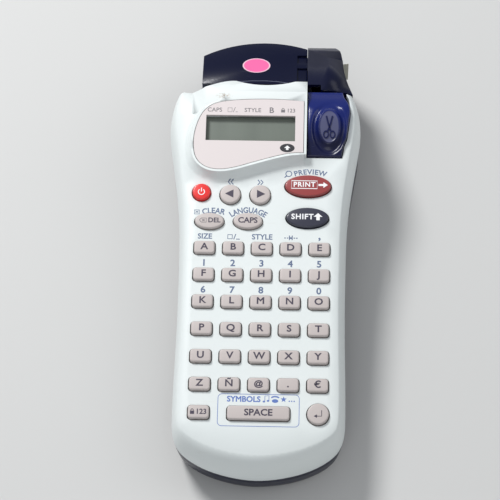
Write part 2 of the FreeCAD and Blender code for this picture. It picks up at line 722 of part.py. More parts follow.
def exit_housing(inset):
    """Fixed right part of the head: flat panel, facet and rounded far corner."""
    low = LEDGE - 3.0 * inset
    left = DOOR_RIGHT + inset
    plan = prism(loop_wire(shrunk(back_outline(), SHELL_STEP + 0.6 + inset), low), 60.0)
    panel = hood_block(inset, PANEL_RIGHT, low).common(box(left, PANEL_RIGHT, 60.0, 160.0, low, 80.0))
    facet = facet_block(inset, HOUSING_RIGHT + 4.0, 119.0 - inset, low)
    shape = fuse([panel, facet, corner_profile(inset, low).common(box(left, 60.0, 104.0, 160.0, low, 80.0))])
    return shape.common(plan)


# ---- back shell (base frame) ----

def back_block(inset, z0):
    """Outside of the back shell for inset 0: rounded belly, straight walls above it."""
    outline = back_outline()
    marks = spacing(outline + outline[:1])
    belly = []
    for z, step in ((z0, 3.2), (z0 + 1.4, 1.9), (z0 + 4.4, 0.8), (z0 + 10.0, 0.0)):
        belly.append(loop_wire(shrunk(outline, SHELL_STEP + step + inset), z, marks))
    lower = Part.makeLoft(belly, True, False)
    upper = prism(loop_wire(shrunk(outline, SHELL_STEP + inset), z0 + 10.0, marks), 50.0)
    return join([lower, upper])


def up_to(top_near, top_far, step, beyond, z0):
    """The space below a roof that runs from the near end to `step` and drops to `beyond`."""
    return polygon_x(((-120.0, z0), (-120.0, top_near), (step, top_far), (step, beyond),
                      (160.0, beyond), (160.0, z0)), -60.0, 60.0)


def below_parting():
    """The space under the parting plane, and under the ledge beyond the step."""
    return up_to(parting_height(-120.0), parting_height(STEP), STEP, LEDGE, -20.0)


def screw_seat(y):
    return parting_height(y) - SCREW_GRIP


def back_columns():
    """Screw columns from the floor to the parting plane."""
    columns = []
    for x, deck_y in SCREW_PLACES:
        y = base_y(deck_y, -FRONT_DEPTH)
        columns.append(post(BACK_BOSS, x, y, WALL - 0.5, 60.0))
    return columns


def screw_bores():
    """Head bores from below and shank holes above them."""
    bores = []
    for x, deck_y in SCREW_PLACES:
        y = base_y(deck_y, -FRONT_DEPTH)
        bores.append(post(SCREW_HEAD + 0.3, x, y, -1.0, screw_seat(y)))
        bores.append(post(SCREW_SHANK + 0.2, x, y, -1.0, 60.0))
    return bores


def case_screws():
    """Five pan-head screws driven from below, all in one group."""
    screws = []
    for x, deck_y in SCREW_PLACES:
        y = base_y(deck_y, -FRONT_DEPTH)
        seat = screw_seat(y)
        shank = post(SCREW_SHANK, x, y, seat - 0.5, parting_height(y) + SCREW_BITE)
        head = post(SCREW_HEAD, x, y, seat - 1.8, seat)
        slot = box(x - 2.0, x + 2.0, y - 0.3, y + 0.3, seat - 2.0, seat - 1.0)
        cross = box(x - 0.3, x + 0.3, y - 2.0, y + 2.0, seat - 2.0, seat - 1.0)
        screws.append(fuse([shank, head]).cut(slot).cut(cross))
    return Part.Compound(screws)


def tape_frame(shape):
    """Carry a shape from the tape's own frame to the base frame: x runs out along the tape."""
    turned = shape.copy()
    turned.rotate(V(0, 0, 0), V(0, 0, 1), TAPE_ANGLE)
    turned.translate(V(TAPE_EXIT[0], TAPE_EXIT[1], 0))
    return turned


def tape_point(u, v):
    """Base place of a point in the tape's frame."""
    a = radians(TAPE_ANGLE)
    return (TAPE_EXIT[0] + u * cos(a) - v * sin(a), TAPE_EXIT[1] + u * sin(a) + v * cos(a))


def roller_centre():
    return tape_point(-ROLLER_BACK, -(ROLLER + TAPE / 2 + 0.05))


def motor_centre():
    x, y = roller_centre()
    reach = MODULE * (GEAR_TEETH + PINION_TEETH) / 2 + MESH_GAP
    return (x + reach * sin(radians(GEAR_TURN)), y - reach * cos(radians(GEAR_TURN)))


def battery_slot():
    """Opening for the battery door, with grooves for its tongues, out through the near end."""
    near = -90.0
    far = BATTERY_DOOR_FAR + FIT
    half = DOOR_HALF + FIT
    plate = box(-half, half, near, far, -1.0, DOOR_TOP + FIT)
    bay = box(-half, half, CELL_NEAR - 2.4, far - 1.6, -1.0, FLOOR + 1.0)
    grooves = box(-half - TONGUE, half + TONGUE, near, far, TONGUE_LOW - 0.1, DOOR_TOP + FIT)
    return fuse([plate, bay, grooves])


def back_ribs():
    """Walls inside the back shell: battery bay ends, cassette bay sides and the motor shelf."""
    rx, ry = roller_centre()
    mx, my = motor_centre()
    shelf_z = GEAR_LOW + GEAR_FACE + 0.3
    floor_pad = box(-40.0, 40.0, -80.0, BATTERY_DOOR_FAR + 2.0, 0.5, FLOOR)
    near_wall = box(-31.0, 31.0, CELL_NEAR - 3.9, CELL_NEAR - 2.6, DOOR_TOP + FIT, 14.0)
    far_wall = box(-31.5, 31.5, CELL_NEAR + CELL_LENGTH + 0.5, CELL_NEAR + CELL_LENGTH + 1.8, 1.0, 18.0)
    left_rib = box(CASSETTE_LEFT - 1.6, CASSETTE_LEFT - 0.4, 74.0, STEP - 1.0, 1.0, 60.0)
    right_rib = box(DIVIDER - 1.5, DIVIDER, 74.0, 108.0, 1.0, 60.0)
    near_rib = box(CASSETTE_LEFT - 1.6, DIVIDER, 74.0, 75.2, 1.0, 24.0)
    rests = [box(x, x + 1.2, 75.0, 112.0, 1.0, CASSETTE_LOW) for x in (-18.0, -6.0, 6.0)]
    shelf = box(DIVIDER - 1.0, mx + MOTOR_RADIUS, my - MOTOR_RADIUS - 1.2, my + MOTOR_RADIUS - 0.4,
                shelf_z, shelf_z + SHELF)
    shelf_wall = box(DIVIDER - 1.0, mx + MOTOR_RADIUS, my - MOTOR_RADIUS - 1.4, my - MOTOR_RADIUS - 0.2,
                     1.0, shelf_z + 6.0)
    bearing = post(2.6, rx, ry, 1.0, GEAR_LOW - 0.4)
    return [floor_pad, near_wall, far_wall, left_rib, right_rib, near_rib, shelf, shelf_wall, bearing] + rests


def back_casing():
    """Dark shell: belly, ledge, ribs, columns, exit housing and hinge lugs."""
    outside = back_block(0.0, 0.0).common(below_parting())
    hollow = back_block(WALL, WALL)
    room = hollow.common(up_to(70.0, 70.0, STEP - WALL, LEDGE - WALL, 0.0))
    hood_room = hood_block(HOOD_WALL, HOUSING_RIGHT, LEDGE - WALL - 1.0).common(
        box(-60.0, DOOR_RIGHT, STEP - 6.0, 160.0, 0.0, 80.0))
    passage = box(CASSETTE_LEFT - 0.4, CASSETTE_RIGHT + 0.5, STEP - 6.0, 118.0, LEDGE - WALL - 1.0, 60.0)
    tape_way = box(CASSETTE_RIGHT, DOOR_RIGHT + HOOD_WALL + 0.2, STEP - 6.0, TAPE_EXIT[1] + 2.5,
                   LEDGE - WALL - 1.0, TAPE_LOW + TAPE_WIDTH + 1.2)
    shell = join([outside, exit_housing(0.0)])
    shell = shell.cut([room, hood_room, passage, tape_way, exit_housing(HOOD_WALL - 0.2)])
    inner = hollow.common(below_parting())
    ribs = [rib.common(inner) for rib in back_ribs()]
    columns = [column.common(outside) for column in back_columns()]
    rx, ry = roller_centre()
    mx, my = motor_centre()
    top_bearing = post(2.4, rx, ry, TAPE_LOW + TAPE_WIDTH + 1.2, 60.0).common(exit_housing(1.0))
    shell = join([shell, top_bearing] + ribs + columns + hinge_lugs())
    cuts = screw_bores()
    cuts.append(battery_slot())
    cuts.append(post(SHAFT + PIN_FIT, rx, ry, 4.0, TAPE_LOW + TAPE_WIDTH + 3.4))
    cuts.append(post(MOTOR_SHAFT + 0.6, mx, my, 6.0, 20.0))
    cuts.append(tape_frame(box(-4.0, 9.0, -0.6, 0.6, TAPE_LOW - 0.5, TAPE_LOW + TAPE_WIDTH + 0.5)))
    return shell.cut(cuts)


def battery_door():
    """Sliding door in the underside, its near edge following the shell."""
    near = -90.0
    far = BATTERY_DOOR_FAR
    plate = box(-DOOR_HALF, DOOR_HALF, near, far, DOOR_RAISE, DOOR_TOP)
    tongues = box(-DOOR_HALF - TONGUE, DOOR_HALF + TONGUE, near, far, TONGUE_LOW + 0.1, DOOR_TOP)
    door = fuse([plate, tongues]).common(back_block(0.2, 0.0))
    grips = [box(-9.0, 9.0, y, y + 1.0, 0.0, DOOR_RAISE + 0.5) for y in (-44.0, -41.6, -39.2, -36.8)]
    return door.cut(grips)


def cell_places():
    """Centre x of each cell, and whether its button points towards the head."""
    step = 2 * CELL + CELL_GAP
    return [((i - 1.5) * step, i % 2 == 0) for i in range(4)]


def cell_height():
    return DOOR_TOP + 0.4 + CELL


def batteries():
    """Four cells side by side, turned end for end in turn."""
    cells = []
    for x, forward in cell_places():
        button = 1.2
        start = CELL_NEAR if forward else CELL_NEAR + button
        body = Part.makeCylinder(CELL, CELL_LENGTH - button, V(x, start, cell_height()), V(0, 1, 0))
        tip = CELL_NEAR + CELL_LENGTH - button if forward else CELL_NEAR
        nub = Part.makeCylinder(2.7, button, V(x, tip, cell_height()), V(0, 1, 0))
        cells.append(fuse([body, nub]))
    return Part.Compound(cells)


def battery_contacts():
    """Plated plates at both ends and a conical spring at each cell's flat end."""
    pieces = []
    far_end = CELL_NEAR + CELL_LENGTH
    step = 2 * CELL + CELL_GAP
    z = cell_height()
    for x in (-step, step):
        pieces.append(box(x - step / 2 - 5.0, x + step / 2 + 5.0, far_end + 0.1, far_end + 0.5, z - 5.0, z + 5.0))
    for x, half in ((-1.5 * step, 5.0), (0.0, step / 2 + 5.0), (1.5 * step, 5.0)):
        pieces.append(box(x - half, x + half, CELL_NEAR - 2.6, CELL_NEAR - 2.2, z - 5.0, z + 4.0))
    for x, forward in cell_places():
        if forward:
            ring = Part.makeCone(4.4, 3.0, 2.1, V(x, CELL_NEAR - 2.2, z), V(0, 1, 0))
            hole = Part.makeCone(3.6, 2.2, 2.1, V(x, CELL_NEAR - 2.2, z), V(0, 1, 0))
            pieces.append(ring.cut(hole))
    return Part.Compound(pieces)


# ---- cassette, tape and drive (base frame) ----

def cassette_block(inset):
    """Cassette body: straight sides and a far end concentric with the hood."""
    radius = HOOD_RADIUS - HOOD_WALL - 1.0 - inset
    centre = HOOD_END - HOOD_RADIUS
    left = CASSETTE_LEFT + inset
    right = CASSETTE_RIGHT - inset
    low = CASSETTE_LOW + inset
    far_left = centre + sqrt(radius ** 2 - (left - HOOD_MIDDLE) ** 2)
    far_right = centre + sqrt(radius ** 2 - (right - HOOD_MIDDLE) ** 2)
    arc = Part.Arc(V(left, far_left, low), V(HOOD_MIDDLE, centre + radius, low), V(right, far_right, low)).toShape()
    near = CASSETTE_NEAR + inset
    corners = [V(right, far_right, low), V(right, near, low), V(left, near, low), V(left, far_left, low)]
    wire = Part.Wire([arc] + [Part.makeLine(a, b) for a, b in zip(corners[:-1], corners[1:])])
    return prism(wire, CASSETTE_HIGH - CASSETTE_LOW - 2 * inset)


def tape_cassette():
    """Closed cassette shell with a hub for the roll, a window and the tape's slot."""
    x, y = ROLL_CENTRE
    shell = cassette_block(0.0).cut(cassette_block(CASSETTE_WALL))
    hub = post(HUB, x, y, CASSETTE_LOW + 0.5, CASSETTE_HIGH - 0.5)
    slot = tape_frame(box(-30.0, 0.0, -0.5, 0.5, TAPE_LOW - 0.4, TAPE_LOW + TAPE_WIDTH + 0.4))
    window = box(x - 6.0, x + 6.0, y - 15.0, y - 9.0, CASSETTE_HIGH - 2.0, CASSETTE_HIGH + 1.0)
    return fuse([shell, hub]).cut([slot, window])


def tape_roll():
    """Wound tape on its spool, free to turn on the cassette's hub."""
    x, y = ROLL_CENTRE
    roll = post(ROLL_RADIUS, x, y, TAPE_LOW, TAPE_LOW + TAPE_WIDTH)
    flange = post(7.0, x, y, TAPE_LOW - 0.6, TAPE_LOW + TAPE_WIDTH + 0.2)
    notches = [box(x + 4.6, x + 5.8, y - 0.6, y + 0.6, TAPE_LOW + TAPE_WIDTH - 1.0, TAPE_LOW + TAPE_WIDTH + 1.0)]
    turned = []
    for i in range(6):
        notch = notches[0].copy()
        notch.rotate(V(x, y, 0), V(0, 0, 1), 60.0 * i)
        turned.append(notch)
    return fuse([roll, flange]).cut([post(HUB + PIN_FIT, x, y, 0.0, 60.0)] + turned)


def label_strip():
    """Tape from the cassette to the blade, and the cut label still standing in the exit."""
    start = (CASSETTE_RIGHT - 1.6 - TAPE_EXIT[0]) / cos(radians(TAPE_ANGLE))
    strip = tape_frame(box(start, TAPE_OUT, -TAPE / 2, TAPE / 2, TAPE_LOW, TAPE_LOW + TAPE_WIDTH))
    gap = box(ARM[1] - 0.3, ARM[1] + BLADE + 0.3, 110.0, 130.0, 0.0, 60.0)
    return strip.cut(gap)


def print_head():
    """Thermal head: a ceramic plate on a metal back, pressing the tape on the roller."""
    z0 = TAPE_LOW - 0.4
    z1 = TAPE_LOW + TAPE_WIDTH + 0.4
    plate = box(-ROLLER_BACK - 2.4, -ROLLER_BACK + 2.4, TAPE / 2 + 0.02, 1.1, z0, z1)
    over_gear = GEAR_LOW + GEAR_FACE + 0.4
    back = box(-ROLLER_BACK - 2.8, -ROLLER_BACK + 2.8, 1.1, 2.3, over_gear, z1)
    bridge = box(-ROLLER_BACK - 2.8, -ROLLER_BACK + 2.8, 1.1, 4.0, over_gear, over_gear + 1.2)
    foot = box(-ROLLER_BACK - 2.8, -ROLLER_BACK + 2.8, 2.8, 4.0, WALL, over_gear + 1.2)
    return tape_frame(fuse([plate, back, bridge, foot]))


def toothed(teeth, x, y, z0, height, start):
    """Spur gear with straight-sided teeth; `start` turns the first tooth, in degrees."""
    pitch = MODULE * teeth / 2
    tip = pitch + 0.85 * MODULE
    root = pitch - 1.1 * MODULE
    points = []
    for i in range(teeth):
        for radius, share in ((root, -0.34), (tip, -0.13), (tip, 0.13), (root, 0.34)):
            angle = radians(start) + 2 * pi * (i + share) / teeth
            points.append((x + radius * cos(angle), y + radius * sin(angle)))
    return polygon_z(points, z0, z0 + height)


def platen_roller():
    """Rubber roller on its shaft with the drive gear below it."""
    x, y = roller_centre()
    toward = GEAR_TURN - 90.0
    gear = toothed(GEAR_TEETH, x, y, GEAR_LOW, GEAR_FACE, toward)
    roller = post(ROLLER, x, y, TAPE_LOW - 0.4, TAPE_LOW + TAPE_WIDTH + 0.4)
    collar = post(1.8, x, y, GEAR_LOW + GEAR_FACE, TAPE_LOW - 0.4)
    shaft = post(SHAFT, x, y, 4.4, TAPE_LOW + TAPE_WIDTH + 3.0)
    return fuse([gear, collar, roller, shaft])


def motor_pinion():
    """Pinion on the motor's shaft, a tooth gap facing the gear's tooth."""
    x, y = motor_centre()
    away = GEAR_TURN + 90.0 + 180.0 / PINION_TEETH
    pinion = toothed(PINION_TEETH, x, y, GEAR_LOW, GEAR_FACE, away)
    return fuse([pinion, post(MOTOR_SHAFT, x, y, GEAR_LOW - 0.6, GEAR_LOW + 10.0)])


def motor():
    """Small motor standing on the shelf, its shaft pointing down."""
    x, y = motor_centre()
    z0 = GEAR_LOW + GEAR_FACE + 0.3 + SHELF
    can = post(MOTOR_RADIUS, x, y, z0, z0 + MOTOR_LENGTH)
    nose = post(2.2, x, y, z0 + MOTOR_LENGTH, z0 + MOTOR_LENGTH + 0.8)
    return fuse([can, nose]).cut(post(MOTOR_SHAFT + PIN_FIT, x, y, 0.0, GEAR_LOW + 10.6))


# ---- all nodes ----

def build_nodes():
    keys = letter_keys() + function_keys()
    nodes = {"front_casing": front_casing(keys)}
    for key in keys:
        nodes[key[0]] = key_cap(key)
    nodes["key_mat"] = key_mat(keys)
    nodes["circuit_board"] = circuit_board()
    nodes["display_bezel"] = display_bezel()
    nodes["lcd_module"] = lcd_module()
    for make in (cutter_lever, cutter_blade, cassette_door, back_casing, case_screws, battery_door,
                 batteries, battery_contacts, tape_cassette, tape_roll, label_strip, print_head,
                 platen_roller, motor_pinion, motor):
        nodes[make.__name__] = make()
    return nodes


def centred(nodes):
    """Stand the object on the origin: the middle of its box, seen from above."""
    near = base_y(NEAR_END, -FRONT_DEPTH)
    middle = (near + HEAD_END - SHELL_STEP) / 2
    for shape in nodes.values():
        shape.translate(V(0, -middle, 0))
    return nodes


def main():
    os.makedirs("parts", exist_ok=True)
    for name, shape in centred(build_nodes()).items():
        print(name, shape.isValid(), len(shape.Solids), round(shape.Volume))
        shape.exportStep("parts/%s.step" % name)


main()
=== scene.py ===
from math import cos, exp, hypot, pi, radians, sin, sqrt

import bmesh
import bpy
from mathutils import Matrix, Vector


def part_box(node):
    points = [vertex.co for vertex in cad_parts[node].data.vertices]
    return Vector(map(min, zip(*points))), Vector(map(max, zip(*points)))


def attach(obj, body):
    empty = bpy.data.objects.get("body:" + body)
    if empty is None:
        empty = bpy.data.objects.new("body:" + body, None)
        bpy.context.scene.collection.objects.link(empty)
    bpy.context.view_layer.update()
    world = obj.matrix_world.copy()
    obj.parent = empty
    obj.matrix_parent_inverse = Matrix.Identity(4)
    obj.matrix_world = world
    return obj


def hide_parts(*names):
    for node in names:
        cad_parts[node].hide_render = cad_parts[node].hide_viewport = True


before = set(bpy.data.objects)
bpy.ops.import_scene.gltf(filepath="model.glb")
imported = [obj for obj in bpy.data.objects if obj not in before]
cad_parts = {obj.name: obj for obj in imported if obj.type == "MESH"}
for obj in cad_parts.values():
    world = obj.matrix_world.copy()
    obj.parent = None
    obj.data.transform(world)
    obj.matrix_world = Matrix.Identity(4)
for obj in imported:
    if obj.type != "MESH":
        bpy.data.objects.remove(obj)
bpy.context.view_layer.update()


# ---- Table, light and camera ----
# The label maker lies on its back on a pale table, key face up and head away from the viewer.
# A wide soft lamp stands at the upper left, a weaker one at the right, under a pale ceiling.

table_size = 3.0
table_colour = (0.62, 0.62, 0.61, 1.0)
lamps = (
    ("window_lamp", (-0.50, 0.62, 0.95), 0.34, 12.6),
    ("side_lamp", (0.75, 0.05, 0.70), 0.60, 1.2),
    ("near_lamp", (-0.10, -0.85, 0.75), 0.70, 1.7),
)
camera_place = (0.0176, -0.3923, 0.7385)
camera_back = (0.0279, -0.4785, 0.8777)
camera_up = (-0.0157, 0.8776, 0.4791)
camera_lens = 144.0

table_mesh = bpy.data.meshes.new("table")
half_table = table_size / 2
table_mesh.from_pydata([(-half_table, -half_table, 0), (half_table, -half_table, 0),
                        (half_table, half_table, 0), (-half_table, half_table, 0)], [], [(0, 1, 2, 3)])
table = bpy.data.objects.new("table", table_mesh)
bpy.context.collection.objects.link(table)
table_paint = bpy.data.materials.new("table_paint")
table_paint.use_nodes = True
table_paint.node_tree.nodes["Principled BSDF"].inputs["Base Color"].default_value = table_colour
table_paint.node_tree.nodes["Principled BSDF"].inputs["Roughness"].default_value = 0.7
table_mesh.materials.append(table_paint)

for name, place, size, power in lamps:
    lamp = bpy.data.lights.new(name, "AREA")
    lamp.shape = "DISK"
    lamp.size = size
    lamp.energy = power
    lamp_object = bpy.data.objects.new(name, lamp)
    lamp_object.location = place
    lamp_object.rotation_euler = Vector(place).to_track_quat("Z", "Y").to_euler()
    bpy.context.collection.objects.link(lamp_object)

world = bpy.data.worlds.new("pale_room")
world.use_nodes = True
world.node_tree.nodes["Background"].inputs["Color"].default_value = (0.86, 0.90, 0.95, 1.0)
world.node_tree.nodes["Background"].inputs["Strength"].default_value = 0.36
bpy.context.scene.world = world
bpy.context.scene.view_settings.view_transform = "Standard"

camera_data = bpy.data.cameras.new("camera")
camera_data.lens = camera_lens
camera_data.sensor_width = 36.0
camera_data.clip_start = 0.01
camera = bpy.data.objects.new("camera", camera_data)
back = Vector(camera_back).normalized()
right = Vector(camera_up).cross(back).normalized()
up = back.cross(right)
turn = Matrix((right, up, back)).transposed()
camera.matrix_world = Matrix.Translation(camera_place) @ turn.to_4x4()
bpy.context.collection.objects.link(camera)
bpy.context.scene.camera = camera


# ---- White front shell ----
# One moulding in white ABS with a fine spark-eroded texture. It carries the key openings and the
# raised display housing, and its wall is cut away at the right for the cutter lever.

MM = 0.001
deck_tilt = radians(6.0)
deck_lift = 33.031
deck_shift = -36.406
merge_distance = 0.002
flat_angle = 0.4


def deck(x, y, z=0.0):
    """Place of a point given in millimetres in the plane of the key face."""
    across = y * cos(deck_tilt) - z * sin(deck_tilt) + deck_shift
    high = y * sin(deck_tilt) + z * cos(deck_tilt) + deck_lift
    return Vector((x * MM, across * MM, high * MM))


class Field:
    """A varying shader value: arithmetic on it adds Math nodes."""

    def __init__(self, finish, socket):
        self.finish = finish
        self.socket = socket

    def sum_with(self, operation, other, swapped=False, clamp=False):
        pair = (other, self) if swapped else (self, other)
        return self.finish.add("Math", {"operation": operation, "use_clamp": clamp}, {0: pair[0], 1: pair[1]})

    def __add__(self, other):
        return self.sum_with("ADD", other)

    __radd__ = __add__

    def __sub__(self, other):
        return self.sum_with("SUBTRACT", other)

    def __rsub__(self, other):
        return self.sum_with("SUBTRACT", other, swapped=True)

    def __mul__(self, other):
        return self.sum_with("MULTIPLY", other)

    __rmul__ = __mul__

    def kept(self):
        """The same value held between 0 and 1."""
        return self.sum_with("ADD", 0.0, clamp=True)


class Finish:
    """One material, built node by node around its Principled shader."""

    def __init__(self, name, **constants):
        self.material = bpy.data.materials.new(name)
        self.material.use_nodes = True
        self.tree = self.material.node_tree
        self.shader = self.tree.nodes["Principled BSDF"]
        self.place = self.tree.nodes.new("ShaderNodeTexCoord").outputs["Object"]
        for key, value in constants.items():
            self.shader.inputs[key.replace("_", " ")].default_value = value

    def feed(self, socket, value):
        if isinstance(value, Field):
            self.tree.links.new(value.socket, socket)
        elif isinstance(value, bpy.types.NodeSocket):
            self.tree.links.new(value, socket)
        else:
            socket.default_value = value

    def add(self, kind, settings=None, inputs=None, out=0):
        """Any shader node: its settings first, then the values or links of its sockets."""
        node = self.tree.nodes.new("ShaderNode" + kind)
        for key, value in (settings or {}).items():
            setattr(node, key, value)
        for key, value in (inputs or {}).items():
            self.feed(node.inputs[key], value)
        return Field(self, node.outputs[out])

    def noise(self, size, detail=2.0, stretch=(1.0, 1.0, 1.0)):
        """Noise whose blotches are about `size` millimetres across."""
        scale = [share / (size * MM) for share in stretch]
        scaled = self.add("Mapping", None, {"Vector": self.place, "Scale": scale})
        return self.add("TexNoise", None, {"Vector": scaled, "Scale": 1.0, "Detail": detail})

    def band(self, value, low, high):
        """0 below `low`, 1 above `high`, straight in between."""
        return self.add("MapRange", None, {"Value": value, "From Min": low, "From Max": high})

    def blend(self, mask, first, second):
        mix = self.tree.nodes.new("ShaderNodeMix")
        mix.data_type = "RGBA"
        self.feed(mix.inputs["Factor"], mask)
        colours = [s for s in mix.inputs if s.type == "RGBA"]
        for socket, value in zip(colours, (first, second)):
            self.feed(socket, value)
        result = [s for s in mix.outputs if s.type == "RGBA"][0]
        return Field(self, result)

    def near(self, centre, reach):
        """1 at a place, falling to 0 at `reach` millimetres from it along each axis."""
        moved = self.add("VectorMath", {"operation": "SUBTRACT"}, {0: self.place, 1: tuple(centre)})
        scaled = self.add("VectorMath", {"operation": "DIVIDE"}, {0: moved, 1: [r * MM for r in reach]})
        length = self.add("VectorMath", {"operation": "LENGTH"}, {0: scaled}, out=1)
        return (1.0 - length).kept()

    def bump(self, height, depth):
        """Relief of `depth` millimetres."""
        relief = self.add("Bump", None, {"Height": height, "Strength": 1.0, "Distance": depth * MM})
        self.feed(self.shader.inputs["Normal"], relief)

    def colour(self, value):
        self.feed(self.shader.inputs["Base Color"], value)

    def rough(self, value):
        self.feed(self.shader.inputs["Roughness"], value)


def moulded(name, base, worn, roughness, grain, coat=0.0):
    """Moulded plastic: slow colour drift, handling polish, fine grain and a few hairlines."""
    finish = Finish(name, IOR=1.5, Coat_Roughness=0.12)
    finish.shader.inputs["Coat Weight"].default_value = coat
    drift = finish.noise(34.0)
    hairline = finish.band(finish.noise(2.4, 3.0, (0.14, 1.0, 1.0)), 0.66, 0.72)
    finish.colour(finish.blend((drift * 0.7 + hairline * 0.25).kept(), base, worn))
    finish.rough((roughness - 0.05 + drift * 0.10 + hairline * 0.08).kept())
    finish.bump(finish.noise(grain, 1.0) - hairline * 0.2, 0.012)
    return finish


def finished(node, name, body, material, round_edge=0.0, sharp=32.0):
    """A merged copy of a designed piece with small edge rounds and smooth shading."""
    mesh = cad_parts[node].data.copy()
    mesh.name = name
    piece = bpy.data.objects.new(name, mesh)
    bpy.context.collection.objects.link(piece)
    work = bmesh.new()
    work.from_mesh(mesh)
    bmesh.ops.remove_doubles(work, verts=work.verts, dist=merge_distance * MM)
    if round_edge:
        bmesh.ops.dissolve_limit(work, angle_limit=radians(flat_angle), verts=work.verts, edges=work.edges)
    work.to_mesh(mesh)
    work.free()
    mesh.materials.clear()
    mesh.materials.append(material)
    if round_edge:
        bevel = piece.modifiers.new("edge", "BEVEL")
        bevel.width = round_edge * MM
        bevel.segments = 2
        bevel.limit_method = "ANGLE"
        bevel.angle_limit = radians(sharp)
        bevel.use_clamp_overlap = True
        as_plain_mesh(piece)
    for polygon in piece.data.polygons:
        polygon.use_smooth = True
    piece.data.set_sharp_from_angle(angle=radians(sharp))
    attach(piece, body)
    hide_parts(node)
    return piece


def as_plain_mesh(piece):
    """Turn a piece and its modifiers into a plain mesh."""
    bpy.context.view_layer.update()
    seen = piece.evaluated_get(bpy.context.evaluated_depsgraph_get())
    mesh = bpy.data.meshes.new_from_object(seen)
    piece.modifiers.clear()
    piece.data = mesh
    return piece


shell_white = (0.80, 0.85, 0.85, 1.0)
shell_aged = (0.74, 0.78, 0.76, 1.0)
scuff_brown = (0.36, 0.24, 0.15, 1.0)
white_abs = moulded("white_abs", shell_white, shell_aged, 0.42, 0.35)
scuff_place = white_abs.near(deck(-17.0, 94.2, 4.0), (4.0, 1.6, 1.6))
scuff = (scuff_place * white_abs.band(white_abs.noise(0.9), 0.40, 0.56)).kept()
white_base = white_abs.shader.inputs["Base Color"].links[0].from_socket
white_abs.colour(white_abs.blend(scuff * 0.85, white_base, scuff_brown))
front_shell = finished("front_casing", "front_shell", "casing", white_abs.material)


# ---- Printed legends of the key face ----
# Slate-blue pad printing on the white shell: the second functions over the keys, arrows over the
# cursor keys and the line round the space bar. The ink stands a few hundredths proud.

ink_proud = 0.03
ink_clear = 0.004
ray_height = 8.0
legend_slate = (0.10, 0.14, 0.24, 1.0)
legend_blue = (0.10, 0.17, 0.45, 1.0)


def ink(name, colour, roughness=0.45):
    """Printing ink: slightly uneven cover and a satin surface."""
    finish = Finish(name, IOR=1.45)
    cover = finish.noise(0.5)
    paler = tuple(min(1.0, c * 1.25 + 0.02) for c in colour[:3]) + (1.0,)
    finish.colour(finish.blend(cover, colour, paler))
    finish.rough((roughness + cover * 0.1).kept())
    finish.bump(cover, 0.004)
    return finish.material


def thickened(mesh, heavy):
    """How far each outline point of flat lettering moves out to make it bolder."""
    sides = {}
    for polygon in mesh.polygons:
        for a, b in polygon.edge_keys:
            sides.setdefault((a, b), []).append(polygon.index)
    pulls = {vertex.index: [] for vertex in mesh.vertices}
    for (a, b), owners in sides.items():
        if len(owners) > 1:
            continue
        first, last = mesh.vertices[a].co, mesh.vertices[b].co
        normal = Vector((last.y - first.y, first.x - last.x)).normalized()
        middle = (first + last) / 2
        if normal.dot((mesh.polygons[owners[0]].center - middle).to_2d()) > 0:
            normal = -normal
        pulls[a].append(normal)
        pulls[b].append(normal)
    moves = {}
    for index, normals in pulls.items():
        total = sum(normals, Vector((0.0, 0.0)))
        if total.length < 1e-6:
            moves[index] = (0.0, 0.0)
            continue
        spread = heavy / max(total.length / len(normals), 0.55)
        moves[index] = tuple(total.normalized() * spread)
    return moves


